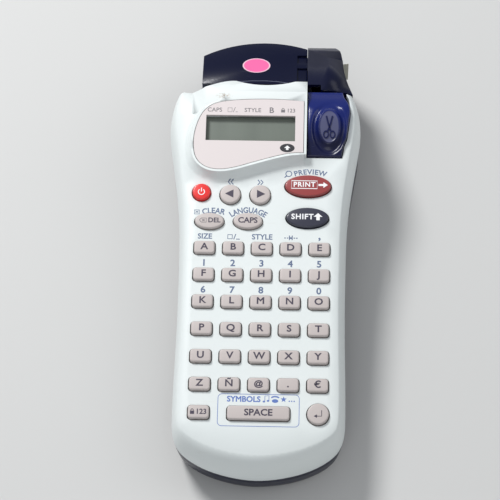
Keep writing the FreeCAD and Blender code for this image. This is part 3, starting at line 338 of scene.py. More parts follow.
class Print:
    """Flat marks in millimetres, gathered and then laid on a surface as one thin piece."""

    def __init__(self):
        self.shapes = []

    def polygon(self, points):
        self.shapes.append(([tuple(p) for p in points], [tuple(range(len(points)))]))

    def strip(self, points, width, closed=False):
        """A line of even width through points."""
        count = len(points)
        left, right_side = [], []
        for i, (x, y) in enumerate(points):
            before = points[i - 1] if i or closed else points[i]
            after = points[(i + 1) % count] if i < count - 1 or closed else points[i]
            dx, dy = after[0] - before[0], after[1] - before[1]
            run = hypot(dx, dy) or 1.0
            nx, ny = -dy / run * width / 2, dx / run * width / 2
            left.append((x + nx, y + ny))
            right_side.append((x - nx, y - ny))
        faces = []
        for i in range(count if closed else count - 1):
            j = (i + 1) % count
            faces.append((i, j, count + j, count + i))
        self.shapes.append((left + right_side, [tuple(reversed(f)) for f in faces]))

    def oval(self, x, y, a, b, width=0.0, start=0.0, end=360.0, steps=36):
        """A filled ellipse, or a line of even width along one."""
        span = radians(end - start)
        whole = end - start >= 360.0
        count = steps if whole else steps + 1
        points = []
        for i in range(count):
            angle = radians(start) + span * i / steps
            points.append((x + a * cos(angle), y + b * sin(angle)))
        if width:
            self.strip(points, width, closed=whole)
        else:
            self.polygon(points)

    def text(self, words, x, y, size, wide=1.0, bend=0.0, heavy=0.0, spaced=1.0):
        """Centred lettering; `bend` is the radius of the arc that it stands on."""
        curve = bpy.data.curves.new("words", "FONT")
        curve.body = words
        curve.size = size
        curve.space_character = spaced
        curve.align_x = "CENTER"
        curve.align_y = "CENTER"
        curve.resolution_u = 3
        words_object = bpy.data.objects.new("words", curve)
        bpy.context.collection.objects.link(words_object)
        bpy.context.view_layer.update()
        seen = words_object.evaluated_get(bpy.context.evaluated_depsgraph_get())
        mesh = bpy.data.meshes.new_from_object(seen)
        bpy.data.objects.remove(words_object)
        spread = thickened(mesh, heavy)
        points = []
        for vertex in mesh.vertices:
            u, v = (vertex.co.x + spread[vertex.index][0]) * wide, vertex.co.y + spread[vertex.index][1]
            if bend:
                angle = u / bend
                u, v = (bend + v) * sin(angle), (bend + v) * cos(angle) - bend
            points.append((x + u, y + v))
        self.shapes.append((points, [tuple(p.vertices) for p in mesh.polygons]))
        bpy.data.meshes.remove(mesh)

    def lay(self, name, surface, body, slot, material):
        """Make the piece; surface(x, y, rise) gives a place on the printed face."""
        work = bmesh.new()
        for points, faces in self.shapes:
            corners = [work.verts.new((x, y, 0.0)) for x, y in points]
            for face in faces:
                if len(set(face)) > 2:
                    work.faces.new([corners[i] for i in face])
        bmesh.ops.remove_doubles(work, verts=work.verts, dist=0.0005)
        flat = list(work.faces)
        raised = bmesh.ops.extrude_face_region(work, geom=flat)
        for item in raised["geom"]:
            if isinstance(item, bmesh.types.BMVert):
                item.co.z = 1.0
        bmesh.ops.recalc_face_normals(work, faces=work.faces)
        for vertex in work.verts:
            vertex.co = surface(vertex.co.x, vertex.co.y, vertex.co.z * ink_proud)
        mesh = bpy.data.meshes.new(name)
        work.to_mesh(mesh)
        work.free()
        mesh.materials.append(material)
        piece = bpy.data.objects.new(name, mesh)
        bpy.context.collection.objects.link(piece)
        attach(piece, body)
        return piece


def on_face(x, y, rise):
    """A place on the shell under a point of the key face, never below the face itself."""
    above, straight = deck(x, y, ray_height), deck(0.0, 0.0, 1.0) - deck(0.0, 0.0)
    found, place, _, _ = front_shell.ray_cast(above, -straight)
    height = ray_height - (above - place).length / MM if found else 0.0
    return deck(x, y, max(height, 0.0) + ink_clear + rise)


pitch = 11.5
row_shift = -0.9
legend_above = 5.1
columns = [(i - 2) * pitch for i in range(5)]
rows = [(2.5 - i) * pitch + row_shift for i in range(6)]
slate = Print()
for x, word in zip((columns[0], columns[2]), ("SIZE", "STYLE")):
    slate.text(word, x, rows[0] + legend_above, 3.2, 0.98, heavy=0.07)
box_x, sign_y = columns[1], rows[0] + legend_above
slate.strip([(box_x - 2.3, sign_y - 0.9), (box_x - 0.5, sign_y - 0.9),
             (box_x - 0.5, sign_y + 0.9), (box_x - 2.3, sign_y + 0.9)], 0.34, closed=True)
slate.strip([(box_x + 0.1, sign_y - 1.1), (box_x + 0.9, sign_y + 1.2)], 0.36)
slate.strip([(box_x + 1.1, sign_y - 1.0), (box_x + 2.5, sign_y - 1.0)], 0.34)
margin_x = columns[3]
for start in (-2.6, -1.6, 1.1, 2.1):
    slate.strip([(margin_x + start, sign_y - 0.2), (margin_x + start + 0.6, sign_y - 0.2)], 0.42)
for side in (-0.55, 0.55):
    slate.strip([(margin_x + side, sign_y - 1.1), (margin_x + side, sign_y + 0.9)], 0.4)
slate.strip([(margin_x - 0.4, sign_y - 0.2), (margin_x + 0.4, sign_y - 0.2)], 0.7)
slate.text(",", columns[4], sign_y + 0.9, 5.0, heavy=0.12)
for row, digits in ((1, "12345"), (2, "67890")):
    for x, digit in zip(columns, digits):
        slate.text(digit, x, rows[row] + legend_above, 3.9, 1.04, heavy=0.10)
for x, side in ((-13.3, -1), (-1.2, 1)):
    for shift in (-0.5, 0.7):
        slate.strip([(x + side * (shift - 0.6), 58.2), (x + side * (shift + 0.3), 57.1),
                     (x + side * (shift - 0.6), 56.0)], 0.42)
slate.text("PREVIEW", 18.9, 62.0, 3.1, 0.98, bend=21.0, heavy=0.07, spaced=1.12)
slate.oval(10.2, 61.1, 1.2, 1.2, 0.36)
slate.strip([(9.4, 60.2), (8.5, 59.4)], 0.45)
slate.text("CLEAR", -19.9, 44.2, 3.4, 0.92, bend=15.0, heavy=0.08)
slate.strip([(-27.6, 42.7), (-25.6, 42.7), (-25.6, 44.5), (-27.6, 44.5)], 0.28, closed=True)
slate.strip([(-27.2, 43.2), (-26.0, 44.1)], 0.22)
slate.strip([(-27.2, 44.1), (-26.0, 43.2)], 0.22)
slate.text("LANGUAGE", -5.9, 44.6, 3.4, 0.86, bend=13.0, heavy=0.08)
slate.lay("legend_slate", on_face, "casing", "casing_white", ink("slate_ink", legend_slate))

blue = Print()
space_left, space_right, space_near, space_far = -15.6, 16.0, -46.4, -33.4
space_corner = 1.6
loop = []
for cx, cy, start in ((space_right - space_corner, space_far - space_corner, 0),
                      (space_left + space_corner, space_far - space_corner, 90),
                      (space_left + space_corner, space_near + space_corner, 180),
                      (space_right - space_corner, space_near + space_corner, 270)):
    for step in range(7):
        angle = radians(start + 15 * step)
        loop.append((cx + space_corner * cos(angle), cy + space_corner * sin(angle)))
blue.strip(loop, 0.22, closed=True)
blue.text("SYMBOLS", -5.6, -35.5, 3.2, 0.98, heavy=0.09)
blue.strip([(2.6, -36.2), (2.6, -34.0), (4.2, -33.9), (4.2, -35.9)], 0.24)
blue.oval(2.25, -36.3, 0.5, 0.38, steps=12)
blue.oval(3.85, -36.0, 0.5, 0.38, steps=12)
blue.oval(6.6, -36.0, 1.25, 0.75, steps=20)
blue.oval(6.6, -34.9, 1.5, 0.7, 0.55, 15.0, 165.0, 12)
star = []
for i in range(10):
    radius = 1.25 if i % 2 == 0 else 0.52
    star.append((9.9 + radius * sin(i * pi / 5), -35.3 + radius * cos(i * pi / 5)))
blue.polygon(star)
for i in range(3):
    blue.oval(12.1 + 0.95 * i, -36.0, 0.28, 0.28, steps=10)
blue.lay("legend_blue", on_face, "casing", "casing_white", ink("blue_ink", legend_blue))


# ---- Keys ----
# Forty separate caps moulded in beige plastic, printed on top. Each one stands on a rubber dome and
# is kept under the face by a thin flange. Power is red, print dull red and shift dark navy.

key_wide, key_long, key_corner = 8.2, 5.3, 1.2
key_top = 1.5
key_round = 0.62
flange_low, flange_high, flange_out = -3.2, -2.4, 0.8
pocket_radius, pocket_top = 1.5, -1.6
oval_sides, corner_steps, rim_steps = 48, 6, 5


def key_loop(kind, x, y, a, b, grow, z):
    """One ring of cap points: a rounded oblong or an ellipse grown by `grow`."""
    ring = []
    if kind == "oval":
        for i in range(oval_sides):
            angle = 2 * pi * i / oval_sides
            ring.append(deck(x + (a + grow) * cos(angle), y + (b + grow) * sin(angle), z))
        return ring
    radius = max(key_corner + grow, 0.25)
    for sx, sy, start in ((1, 1, 0), (-1, 1, 90), (-1, -1, 180), (1, -1, 270)):
        for step in range(corner_steps):
            angle = radians(start + 90 * step / (corner_steps - 1))
            ring.append(deck(x + sx * (a + grow - radius) + radius * cos(angle),
                             y + sy * (b + grow - radius) + radius * sin(angle), z))
    return ring


def pocket_loop(kind, x, y, z):
    """One ring of the round pocket for the dome, with as many points as the cap's own rings."""
    count, turn = (oval_sides, 0.0) if kind == "oval" else (4 * corner_steps, 0.5)
    ring = []
    for i in range(count):
        angle = 2 * pi * (i + turn) / count
        ring.append(deck(x + pocket_radius * cos(angle), y + pocket_radius * sin(angle), z))
    return ring


def stacked(name, rings, material):
    """A closed solid through rings of equal count, flat at both ends."""
    count = len(rings[0])
    points = [p for ring in rings for p in ring]
    faces = []
    for k in range(len(rings) - 1):
        for i in range(count):
            j = (i + 1) % count
            faces.append((k * count + i, k * count + j, (k + 1) * count + j, (k + 1) * count + i))
    faces.append(tuple(reversed(range(count))))
    faces.append(tuple(range((len(rings) - 1) * count, len(rings) * count)))
    mesh = bpy.data.meshes.new(name)
    mesh.from_pydata(points, [], faces)
    mesh.materials.append(material)
    for polygon in mesh.polygons:
        polygon.use_smooth = True
    mesh.set_sharp_from_angle(angle=radians(40))
    piece = bpy.data.objects.new(name, mesh)
    bpy.context.collection.objects.link(piece)
    return piece


def key_cap(node, kind, x, y, wide, long, material):
    """A cap with a rounded rim and a flat top, standing on its flange."""
    a, b = wide / 2, long / 2
    rings = [pocket_loop(kind, x, y, pocket_top), pocket_loop(kind, x, y, flange_low)]
    for grow, z in ((flange_out, flange_low), (flange_out, flange_high), (0.0, flange_high),
                    (0.0, key_top - key_round)):
        rings.append(key_loop(kind, x, y, a, b, grow, z))
    for step in range(1, rim_steps + 1):
        angle = radians(90 * step / rim_steps)
        rings.append(key_loop(kind, x, y, a, b, -key_round * (1 - cos(angle)),
                              key_top - key_round * (1 - sin(angle))))
    piece = stacked(node + "_cap", rings, material)
    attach(piece, node)
    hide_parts(node)


def on_key(x, y, rise):
    return deck(x, y, key_top + ink_clear + rise)


beige = moulded("beige_key", (0.60, 0.54, 0.52, 1.0), (0.52, 0.46, 0.44, 1.0), 0.46, 0.25).material
power_red = moulded("power_red", (0.85, 0.035, 0.035, 1.0), (0.75, 0.05, 0.04, 1.0), 0.30, 0.4, 0.2).material
print_red = moulded("print_red", (0.34, 0.055, 0.055, 1.0), (0.28, 0.05, 0.05, 1.0), 0.34, 0.4, 0.2).material
navy, worn_navy = (0.028, 0.030, 0.055, 1.0), (0.04, 0.04, 0.06, 1.0)
shift_navy = moulded("shift_navy", navy, worn_navy, 0.36, 0.4, 0.2).material
key_ink = ink("key_ink", (0.05, 0.04, 0.065, 1.0))
white_ink = ink("white_ink", (0.82, 0.82, 0.84, 1.0))

letter_names = [chr(97 + i) for i in range(26)] + ["n_tilde", "at", "dot", "euro"]
letter_marks = [chr(65 + i) for i in range(26)] + ["Ñ", "@", ".", "€"]
for i, (name, mark) in enumerate(zip(letter_names, letter_marks)):
    node = "key_" + name
    x, y = columns[i % 5], rows[i // 5]
    key_cap(node, "block", x, y, key_wide, key_long, beige)
    legend = Print()
    legend.text(mark, x, y + 0.1, 3.9 if mark != "@" else 3.2, 1.1, heavy=0.10)
    legend.lay(node + "_legend", on_key, node, "key_beige", key_ink)

function_keys = {
    "key_lock_123": ("block", -23.0, -41.2, key_wide, key_long, "key_beige", beige),
    "key_space": ("block", 0.2, -41.3, 24.2, 5.5, "key_beige", beige),
    "key_enter": ("oval", 23.3, -41.3, 8.4, 8.4, "key_beige", beige),
    "key_power": ("oval", -25.0, 52.1, 7.2, 7.2, "key_red", power_red),
    "key_left": ("oval", -13.3, 51.3, 8.2, 8.2, "key_beige", beige),
    "key_right": ("oval", -1.2, 51.3, 8.2, 8.2, "key_beige", beige),
    "key_delete": ("oval", -21.4, 39.4, 11.6, 6.8, "key_beige", beige),
    "key_caps": ("oval", -5.9, 39.6, 11.6, 6.8, "key_beige", beige),
    "key_print": ("oval", 18.1, 55.4, 18.6, 9.4, "key_print_red", print_red),
    "key_shift": ("oval", 18.0, 41.4, 17.0, 8.6, "key_navy", shift_navy),
}
for node, (kind, x, y, wide, long, slot, material) in function_keys.items():
    key_cap(node, kind, x, y, wide, long, material)

function_marks = {node: Print() for node in function_keys}
lock = function_marks["key_lock_123"]
lock.polygon([(-26.2, -42.3), (-24.6, -42.3), (-24.6, -41.0), (-26.2, -41.0)])
lock.oval(-25.4, -41.0, 0.5, 0.8, 0.26, 0.0, 180.0, 10)
lock.text("123", -21.9, -41.3, 2.9, heavy=0.07)
function_marks["key_space"].text("SPACE", 0.2, -41.3, 3.7, 1.05, heavy=0.10)
enter = function_marks["key_enter"]
enter.strip([(24.7, -39.9), (24.7, -42.3), (22.6, -42.3)], 0.3)
enter.polygon([(21.6, -42.3), (22.9, -43.0), (22.9, -41.6)])
power = function_marks["key_power"]
power.oval(-25.0, 51.9, 1.25, 1.25, 0.36, 125.0, 415.0, 28)
power.strip([(-25.0, 52.0), (-25.0, 53.7)], 0.36)
function_marks["key_left"].polygon([(-15.4, 51.3), (-12.0, 49.5), (-12.0, 53.1)])
function_marks["key_right"].polygon([(0.9, 51.3), (-2.5, 53.1), (-2.5, 49.5)])
delete = function_marks["key_delete"]
delete.text("DEL", -19.4, 39.4, 2.9, heavy=0.07)
delete.strip([(-25.4, 39.4), (-24.6, 38.5), (-22.6, 38.5), (-22.6, 40.3), (-24.6, 40.3)], 0.2, closed=True)
delete.strip([(-24.2, 39.0), (-23.3, 39.8)], 0.2)
delete.strip([(-24.2, 39.8), (-23.3, 39.0)], 0.2)
function_marks["key_caps"].text("CAPS", -5.9, 39.6, 3.3, 1.02, heavy=0.09)
printing = function_marks["key_print"]
printing.text("PRINT", 16.6, 55.7, 2.9, 1.0, heavy=0.09, spaced=1.16)
printing.strip([(11.4, 54.0), (21.8, 54.0), (21.8, 57.4), (11.4, 57.4)], 0.34, closed=True)
printing.polygon([(22.3, 55.2), (24.3, 55.2), (24.3, 54.4), (26.1, 55.65),
                  (24.3, 56.9), (24.3, 56.1), (22.3, 56.1)])
shift = function_marks["key_shift"]
shift.text("SHIFT", 16.0, 41.5, 3.2, 1.0, heavy=0.10, spaced=1.14)
shift.polygon([(21.6, 40.1), (23.0, 40.1), (23.0, 41.6), (24.1, 41.6),
               (22.3, 43.2), (20.5, 41.6), (21.6, 41.6)])
for node, marks in function_marks.items():
    pale = node in ("key_power", "key_print", "key_shift")
    marks.lay(node + "_legend", on_key, node, function_keys[node][5], white_ink if pale else key_ink)


# ---- Display frame and display ----
# A silver plate with a pinkish cast lies in a pocket of the housing, its labels printed on it.
# Behind its window lies the grey-green reflective display, a step below the plate.

housing_top = 4.2


def on_plate(x, y, rise):
    return deck(x, y, housing_top + ink_clear + rise)


plate = moulded("silver_plate", (0.77, 0.70, 0.69, 1.0), (0.72, 0.65, 0.65, 1.0), 0.36, 0.2, 0.15)
finished("display_bezel", "display_frame", "casing", plate.material)
small = Print()
for word, x, size, heavy in (("CAPS", -20.6, 2.6, 0.02), ("STYLE", -5.0, 2.6, 0.02), ("B", 2.7, 3.6, 0.05),
                             ("123", 10.7, 2.4, 0.02)):
    small.text(word, x, 87.6, size, heavy=heavy)
small.strip([(-15.2, 86.8), (-13.5, 86.8), (-13.5, 88.6), (-15.2, 88.6)], 0.2, closed=True)
small.strip([(-13.0, 86.6), (-12.2, 88.9)], 0.2)
small.strip([(-12.0, 86.8), (-11.2, 86.8)], 0.2)
small.polygon([(6.6, 86.8), (8.2, 86.8), (8.2, 88.0), (6.6, 88.0)])
small.oval(7.4, 88.0, 0.5, 0.7, 0.24, 0.0, 180.0, 10)
small.lay("frame_labels", on_plate, "casing", "bezel_silver", ink("grey_ink", (0.16, 0.15, 0.16, 1.0)))
badge = Print()
badge.oval(9.4, 70.7, 3.0, 1.9)
badge.lay("shift_badge", on_plate, "casing", "bezel_silver", ink("black_ink", (0.02, 0.02, 0.025, 1.0), 0.35))
arrow = Print()
arrow.polygon([(8.9, 69.8), (9.9, 69.8), (9.9, 70.7), (10.7, 70.7), (9.4, 71.8), (8.1, 70.7), (8.9, 70.7)])


def on_badge(x, y, rise):
    return deck(x, y, housing_top + ink_clear + ink_proud + rise)


arrow.lay("shift_badge_arrow", on_badge, "casing", "bezel_silver", white_ink)

display = Finish("display_glass", IOR=1.5, Coat_Weight=0.6, Coat_Roughness=0.08)
streaks = display.noise(5.0, 2.0, (1.0, 0.06, 1.0))
display.colour(display.blend(streaks, (0.140, 0.162, 0.138, 1.0), (0.170, 0.196, 0.166, 1.0)))
display.rough((0.30 + streaks * 0.08).kept())
display.bump(display.noise(0.3), 0.002)
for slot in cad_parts["lcd_module"].material_slots:
    slot.material = display.material


# ---- Cutter lever and blade ----
# A blue thumb lever that swings on two stubs. Its oval pad stands in a dished channel and carries a
# raised pair of scissors; the arm under it holds the steel blade.

lever_left, lever_near, lever_far = 17.5, 68.6, 99.4
lever_right = ((68.6, 31.6), (73.6, 32.4), (77.0, 33.6), (88.6, 35.0),
               (92.6, 34.2), (96.0, 32.6), (99.4, 32.0))
lever_along = ((68.6, 0.7), (71.0, 1.6), (74.6, 2.2), (78.0, 3.2),
               (84.0, 4.2), (89.0, 4.0), (93.6, 2.0), (99.4, -1.8))
lever_across = ((17.5, 3.6), (20.5, 4.5), (27.0, 5.1), (32.0, 4.3), (35.2, 2.8))
lever_under = ((68.6, -5.6), (71.4, -8.2), (99.4, -5.9))
pad_x, pad_y, pad_a, pad_b = 26.4, 81.0, 4.9, 7.9


def along(table, at):
    """Value of a table at a place, straight between its points."""
    if at <= table[0][0]:
        return table[0][1]
    for (a, va), (b, vb) in zip(table[:-1], table[1:]):
        if at <= b:
            return va + (vb - va) * (at - a) / (b - a)
    return table[-1][1]


def eased(table, at, reach=1.2):
    """The same with its corners rounded over `reach` millimetres each way."""
    return sum(along(table, at + reach * k / 3) for k in range(-3, 4)) / 7


crest_blend = 0.8
channel_out, channel_wide, channel_far, channel_near = 1.5, 1.25, 0.35, 0.75
channel_fades, channel_fade = 85.5, 5.0
pad_rise, rim_rise, rim_in, rim_wide, pad_edge = 0.45, 0.28, 0.75, 0.42, 0.9


def lever_height(x, y):
    """Top of the lever: crest, dished channel round the pad, then the pad and its rim."""
    a, b = eased(lever_along, y, 1.6), eased(lever_across, x, 1.4)
    gap = max(crest_blend - abs(a - b), 0.0) / crest_blend
    height = min(a, b) - gap * gap * crest_blend / 4
    u, v = (x - pad_x) / pad_a, (y - pad_y) / pad_b
    ring = (hypot(u, v) - 1.0) * (pad_a + pad_b) / 2
    channel = 1.0 - min(max((y - channel_fades) / channel_fade, 0.0), 1.0)
    height -= (channel_far + channel_near * channel) * exp(-((ring - channel_out) / channel_wide) ** 2)
    inside = min(max(0.5 - ring / pad_edge, 0.0), 1.0)
    inside = inside * inside * (3 - 2 * inside)
    return height + pad_rise * inside + rim_rise * exp(-((ring + rim_in) / rim_wide) ** 2)


lever_steps_across, lever_steps_along = 72, 120
lever_round = 0.7
top_points, low_points = [], []
for j in range(lever_steps_along + 1):
    y = lever_near + (lever_far - lever_near) * j / lever_steps_along
    edge = eased(lever_right, y, 1.0)
    for i in range(lever_steps_across + 1):
        x = lever_left + (edge - lever_left) * i / lever_steps_across
        rim = min(x - lever_left, edge - x, y - lever_near, lever_far - y, lever_round)
        drop = lever_round - sqrt(max(lever_round ** 2 - (lever_round - rim) ** 2, 0.0))
        top_points.append(deck(x, y, lever_height(x, y) - drop))
        low_points.append(deck(x, y, along(lever_under, y)))
wide_count = lever_steps_across + 1
offset = len(top_points)
lever_faces = []
for j in range(lever_steps_along):
    for i in range(lever_steps_across):
        a = j * wide_count + i
        lever_faces.append((a, a + 1, a + 1 + wide_count, a + wide_count))
        lever_faces.append((offset + a, offset + a + wide_count, offset + a + 1 + wide_count, offset + a + 1))
rim_loop = [i for i in range(wide_count)]
rim_loop += [j * wide_count + lever_steps_across for j in range(1, lever_steps_along + 1)]
rim_loop += [lever_steps_along * wide_count + i for i in range(lever_steps_across - 1, -1, -1)]
rim_loop += [j * wide_count for j in range(lever_steps_along - 1, 0, -1)]
for a, b in zip(rim_loop, rim_loop[1:] + rim_loop[:1]):
    lever_faces.append((a, offset + a, offset + b, b))
points = top_points + low_points


def slab(outline, x0, x1):
    """A plate standing along the lever: its (y, z) outline from x0 to x1."""
    start = len(points)
    count = len(outline)
    points.extend(deck(x0, y, z) for y, z in outline)
    points.extend(deck(x1, y, z) for y, z in outline)
    lever_faces.append(tuple(start + i for i in range(count)))
    lever_faces.append(tuple(start + count + i for i in reversed(range(count))))
    for i in range(count):
        j = (i + 1) % count
        lever_faces.append((start + j, start + i, start + count + i, start + count + j))


slab(((94.0, -6.2), (98.6, -6.4), (101.0, -9.6), (113.0, -13.0), (118.6, -13.9),
      (118.6, -16.4), (112.0, -15.8), (96.0, -12.4)), 27.2, 28.2)
pivot_y, pivot_z, pivot_radius, stub_sides = 71.6, -6.4, 1.5, 20
stub = []
for i in range(stub_sides):
    angle = 2 * pi * i / stub_sides
    stub.append((pivot_y + pivot_radius * cos(angle), pivot_z + pivot_radius * sin(angle)))
slab(stub, 16.1, 17.6)
slab(stub, 31.6, 33.9)
lever_mesh = bpy.data.meshes.new("thumb_lever")
lever_mesh.from_pydata(points, [], lever_faces)
work = bmesh.new()
work.from_mesh(lever_mesh)
bmesh.ops.recalc_face_normals(work, faces=work.faces)
work.to_mesh(lever_mesh)
work.free()
for polygon in lever_mesh.polygons:
    polygon.use_smooth = True
lever_mesh.set_sharp_from_angle(angle=radians(42))
lever_blue = moulded("lever_blue", (0.005, 0.013, 0.125, 1.0), (0.008, 0.018, 0.15, 1.0), 0.25, 0.5)
lever_blue.shader.inputs["IOR"].default_value = 1.42
lever_base = lever_blue.shader.inputs["Base Color"].links[0].from_socket
# Painted shade: the lever's colour is blended darker towards its near, lower end, from y 86 down to y 74.
place_along = lever_blue.add("SeparateXYZ", None, {0: lever_blue.place}, out=1)
painted_shade = lever_blue.band(place_along, deck(0.0, 86.0).y, deck(0.0, 74.0).y)
lever_base = lever_blue.blend(painted_shade * 0.85, lever_base, (0.008, 0.009, 0.030, 1.0))
# Painted highlight: the raised middle of the pad is coloured a paler grey-blue, standing in for light on its
# top.
pad_inside = lever_blue.near(deck(pad_x, pad_y, 4.5), (pad_a - 1.0, pad_b - 1.1, 30.0))
pad_painted_highlight = lever_blue.band(pad_inside, 0.0, 0.08)
lever_blue.colour(lever_blue.blend(pad_painted_highlight * 0.8, lever_base, (0.110, 0.115, 0.200, 1.0)))
lever_mesh.materials.append(lever_blue.material)
lever = bpy.data.objects.new("thumb_lever", lever_mesh)
bpy.context.collection.objects.link(lever)
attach(lever, "cutter")
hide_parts("cutter_lever")


mark_sunk, mark_raise = 0.10, 15.0


def on_pad(x, y, rise):
    return deck(x, y, lever_height(x, y) - mark_sunk + rise * mark_raise)


scissors = Print()
for side in (-1, 1):
    scissors.oval(pad_x + side * 1.35, pad_y - 3.6, 0.95, 1.35, 0.42, steps=24)
    scissors.strip([(pad_x + side * 0.75, pad_y - 2.4), (pad_x + side * 0.15, pad_y - 1.0),
                    (pad_x - side * 0.55, pad_y + 1.2), (pad_x - side * 1.25, pad_y + 4.2)], 0.62)
scissors.oval(pad_x, pad_y - 0.6, 0.36, 0.36, steps=14)
scissors_blue = moulded("scissors_blue", (0.004, 0.008, 0.060, 1.0), (0.006, 0.010, 0.075, 1.0), 0.25, 0.5)
scissors.lay("scissors_mark", on_pad, "cutter", "lever_blue", scissors_blue.material)

blade_steel = Finish("blade_steel", Metallic=1.0)
grind = blade_steel.noise(0.6, 3.0, (1.0, 0.08, 1.0))
blade_steel.colour(blade_steel.blend(grind, (0.60, 0.61, 0.63, 1.0), (0.72, 0.73, 0.75, 1.0)))
blade_steel.rough((0.20 + grind * 0.18).kept())
blade_steel.bump(grind, 0.004)
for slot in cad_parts["cutter_blade"].material_slots:
    slot.material = blade_steel.material


# ---- Cassette door ----
# The glossy dark blue hood over the tape cassette, hinged at its far lower edge. It has a thumb lip
# at its near edge, a latch slot at its right, and a pink paper label stuck on top.

door_plastic = moulded("door_plastic", (0.0015, 0.0030, 0.020, 1.0), (0.003, 0.005, 0.026, 1.0), 0.20, 0.8)
door_plastic.shader.inputs["IOR"].default_value = 1.38
finished("cassette_door", "hood", "cassette_door", door_plastic.material, 0.35)

hood_start, hood_high = 102.9, 41.4
hood_slope = (41.4 - 36.0) / (127.0 - 102.9)


def on_hood(x, y, rise):
    """A place on the flat top of the hood."""
    return Vector((x * MM, (y + deck_shift) * MM, (hood_high - hood_slope * (y - hood_start) + rise) * MM))


# Painted highlight: a pale blue line printed along the hood's near edge, where the lip's edge catches the
# light.
lip = Print()
lip.strip([(-14.6, 103.4), (-11.0, 104.1), (-6.0, 104.6), (0.0, 104.7), (5.0, 104.3), (9.0, 103.6)], 0.26)
painted_edge_highlight = ink("painted_edge_highlight", (0.10, 0.11, 0.16, 1.0), 0.3)
lip.lay("lip_painted_highlight", on_hood, "cassette_door", "door_blue", painted_edge_highlight)
label_x, label_y, label_a, label_b = -4.3, 113.6, 5.8, 4.2
label_thick = 0.12
rings = []
label_low, label_sides = 0.005, 56
label_rings = [(1.0, label_low)] + [(share, label_thick) for share in (1.0, 0.90, 0.88, 0.45, 0.02)]
for share, rise in label_rings:
    ring = []
    for i in range(label_sides):
        angle = 2 * pi * i / label_sides
        x = label_x + label_a * share * cos(angle)
        y = label_y + label_b * share * sin(angle)
        ring.append(on_hood(x, y, rise))
    rings.append(ring)
label_paper = Finish("label_paper", IOR=1.45)
fibre = label_paper.noise(0.4, 3.0)
middle = (label_x * MM, (label_y + deck_shift) * MM, (hood_high - hood_slope * (label_y - hood_start)) * MM)
inner = label_paper.near(middle, (label_a, label_b, 40.0))
printed = label_paper.band(inner, 0.08, 0.11)
label_paper.colour(label_paper.blend(printed, (0.80, 0.52, 0.62, 1.0), (0.84, 0.13, 0.36, 1.0)))
label_paper.rough((0.42 + fibre * 0.15).kept())
label_paper.bump(fibre, 0.01)
label = stacked("paper_label", rings, label_paper.material)
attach(label, "cassette_door")


# ---- Dark back shell, battery door and screws ----
# The lower half of the case in dark blue ABS with the exit housing at its far right, a sliding
# battery door in its underside and five plated screws driven from below.

shell_blue = moulded("shell_blue", (0.0020, 0.0035, 0.022, 1.0), (0.004, 0.006, 0.030, 1.0), 0.28, 0.7)
shell_blue.shader.inputs["IOR"].default_value = 1.38
finished("back_casing", "back_shell", "casing", shell_blue.material)
door_blue = moulded("battery_door_blue", (0.0020, 0.0035, 0.022, 1.0), (0.004, 0.006, 0.030, 1.0), 0.34, 0.5)
finished("battery_door", "battery_lid", "battery_door", door_blue.material, sharp=14.0)


def plated(name, base, bright, roughness, size=1.2, stretch=(1.0, 1.0, 1.0)):
    """Bright metal with fine working marks."""
    finish = Finish(name, Metallic=1.0)
    marks = finish.noise(size, 3.0, stretch)
    finish.colour(finish.blend(marks, base, bright))
    finish.rough((roughness + marks * 0.15).kept())
    finish.bump(marks, 0.004)
    return finish.material


def dress(node, material):
    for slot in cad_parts[node].material_slots:
        slot.material = material


dress("case_screws", plated("screw_steel", (0.52, 0.53, 0.55, 1.0), (0.66, 0.67, 0.69, 1.0), 0.26))


# ---- Grip ribs of the battery lid ----
# Seven low ribs across the near end of the sliding lid give the thumb a hold. A small node tree
# repeats one rib along the lid.

rib_count, rib_step = 7, 1.7
rib_size = (24.0, 0.8, 0.3)
rib_low, rib_inset = 0.08, 12.0
lid_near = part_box("battery_door")[0][1]
first_rib = (0.0, lid_near + rib_inset * MM, (rib_low + rib_size[2] / 2) * MM)
rib_values = {
    "Rib count": ("NodeSocketInt", rib_count),
    "First rib": ("NodeSocketVector", first_rib),
    "Step": ("NodeSocketVector", (0.0, rib_step * MM, 0.0)),
    "Rib size": ("NodeSocketVector", [side * MM for side in rib_size]),
}
rib_tree = bpy.data.node_groups.new("grip_ribs", "GeometryNodeTree")
rib_sockets = {}
for name, (kind, value) in rib_values.items():
    rib_sockets[name] = rib_tree.interface.new_socket(name, in_out="INPUT", socket_type=kind)
rib_tree.interface.new_socket("Ribs", in_out="OUTPUT", socket_type="NodeSocketGeometry")
given = rib_tree.nodes.new("NodeGroupInput")
row = rib_tree.nodes.new("GeometryNodeMeshLine")
rib = rib_tree.nodes.new("GeometryNodeMeshCube")
copies = rib_tree.nodes.new("GeometryNodeInstanceOnPoints")
real = rib_tree.nodes.new("GeometryNodeRealizeInstances")
paint = rib_tree.nodes.new("GeometryNodeSetMaterial")
result = rib_tree.nodes.new("NodeGroupOutput")
paint.inputs["Material"].default_value = door_blue.material
for start, end in ((given.outputs["Rib count"], row.inputs["Count"]),
                   (given.outputs["First rib"], row.inputs["Start Location"]),
                   (given.outputs["Step"], row.inputs["Offset"]),
                   (given.outputs["Rib size"], rib.inputs["Size"]),
                   (row.outputs["Mesh"], copies.inputs["Points"]),
                   (rib.outputs["Mesh"], copies.inputs["Instance"]),
                   (copies.outputs["Instances"], real.inputs["Geometry"]),
                   (real.outputs["Geometry"], paint.inputs["Geometry"]),
                   (paint.outputs["Geometry"], result.inputs["Ribs"])):
    rib_tree.links.new(start, end)
ribs = bpy.data.objects.new("lid_grip_ribs", bpy.data.meshes.new("lid_grip_ribs"))
bpy.context.collection.objects.link(ribs)
rib_modifier = ribs.modifiers.new("ribs", "NODES")
rib_modifier.node_group = rib_tree
for name, (kind, value) in rib_values.items():
    rib_modifier[rib_sockets[name].identifier] = value
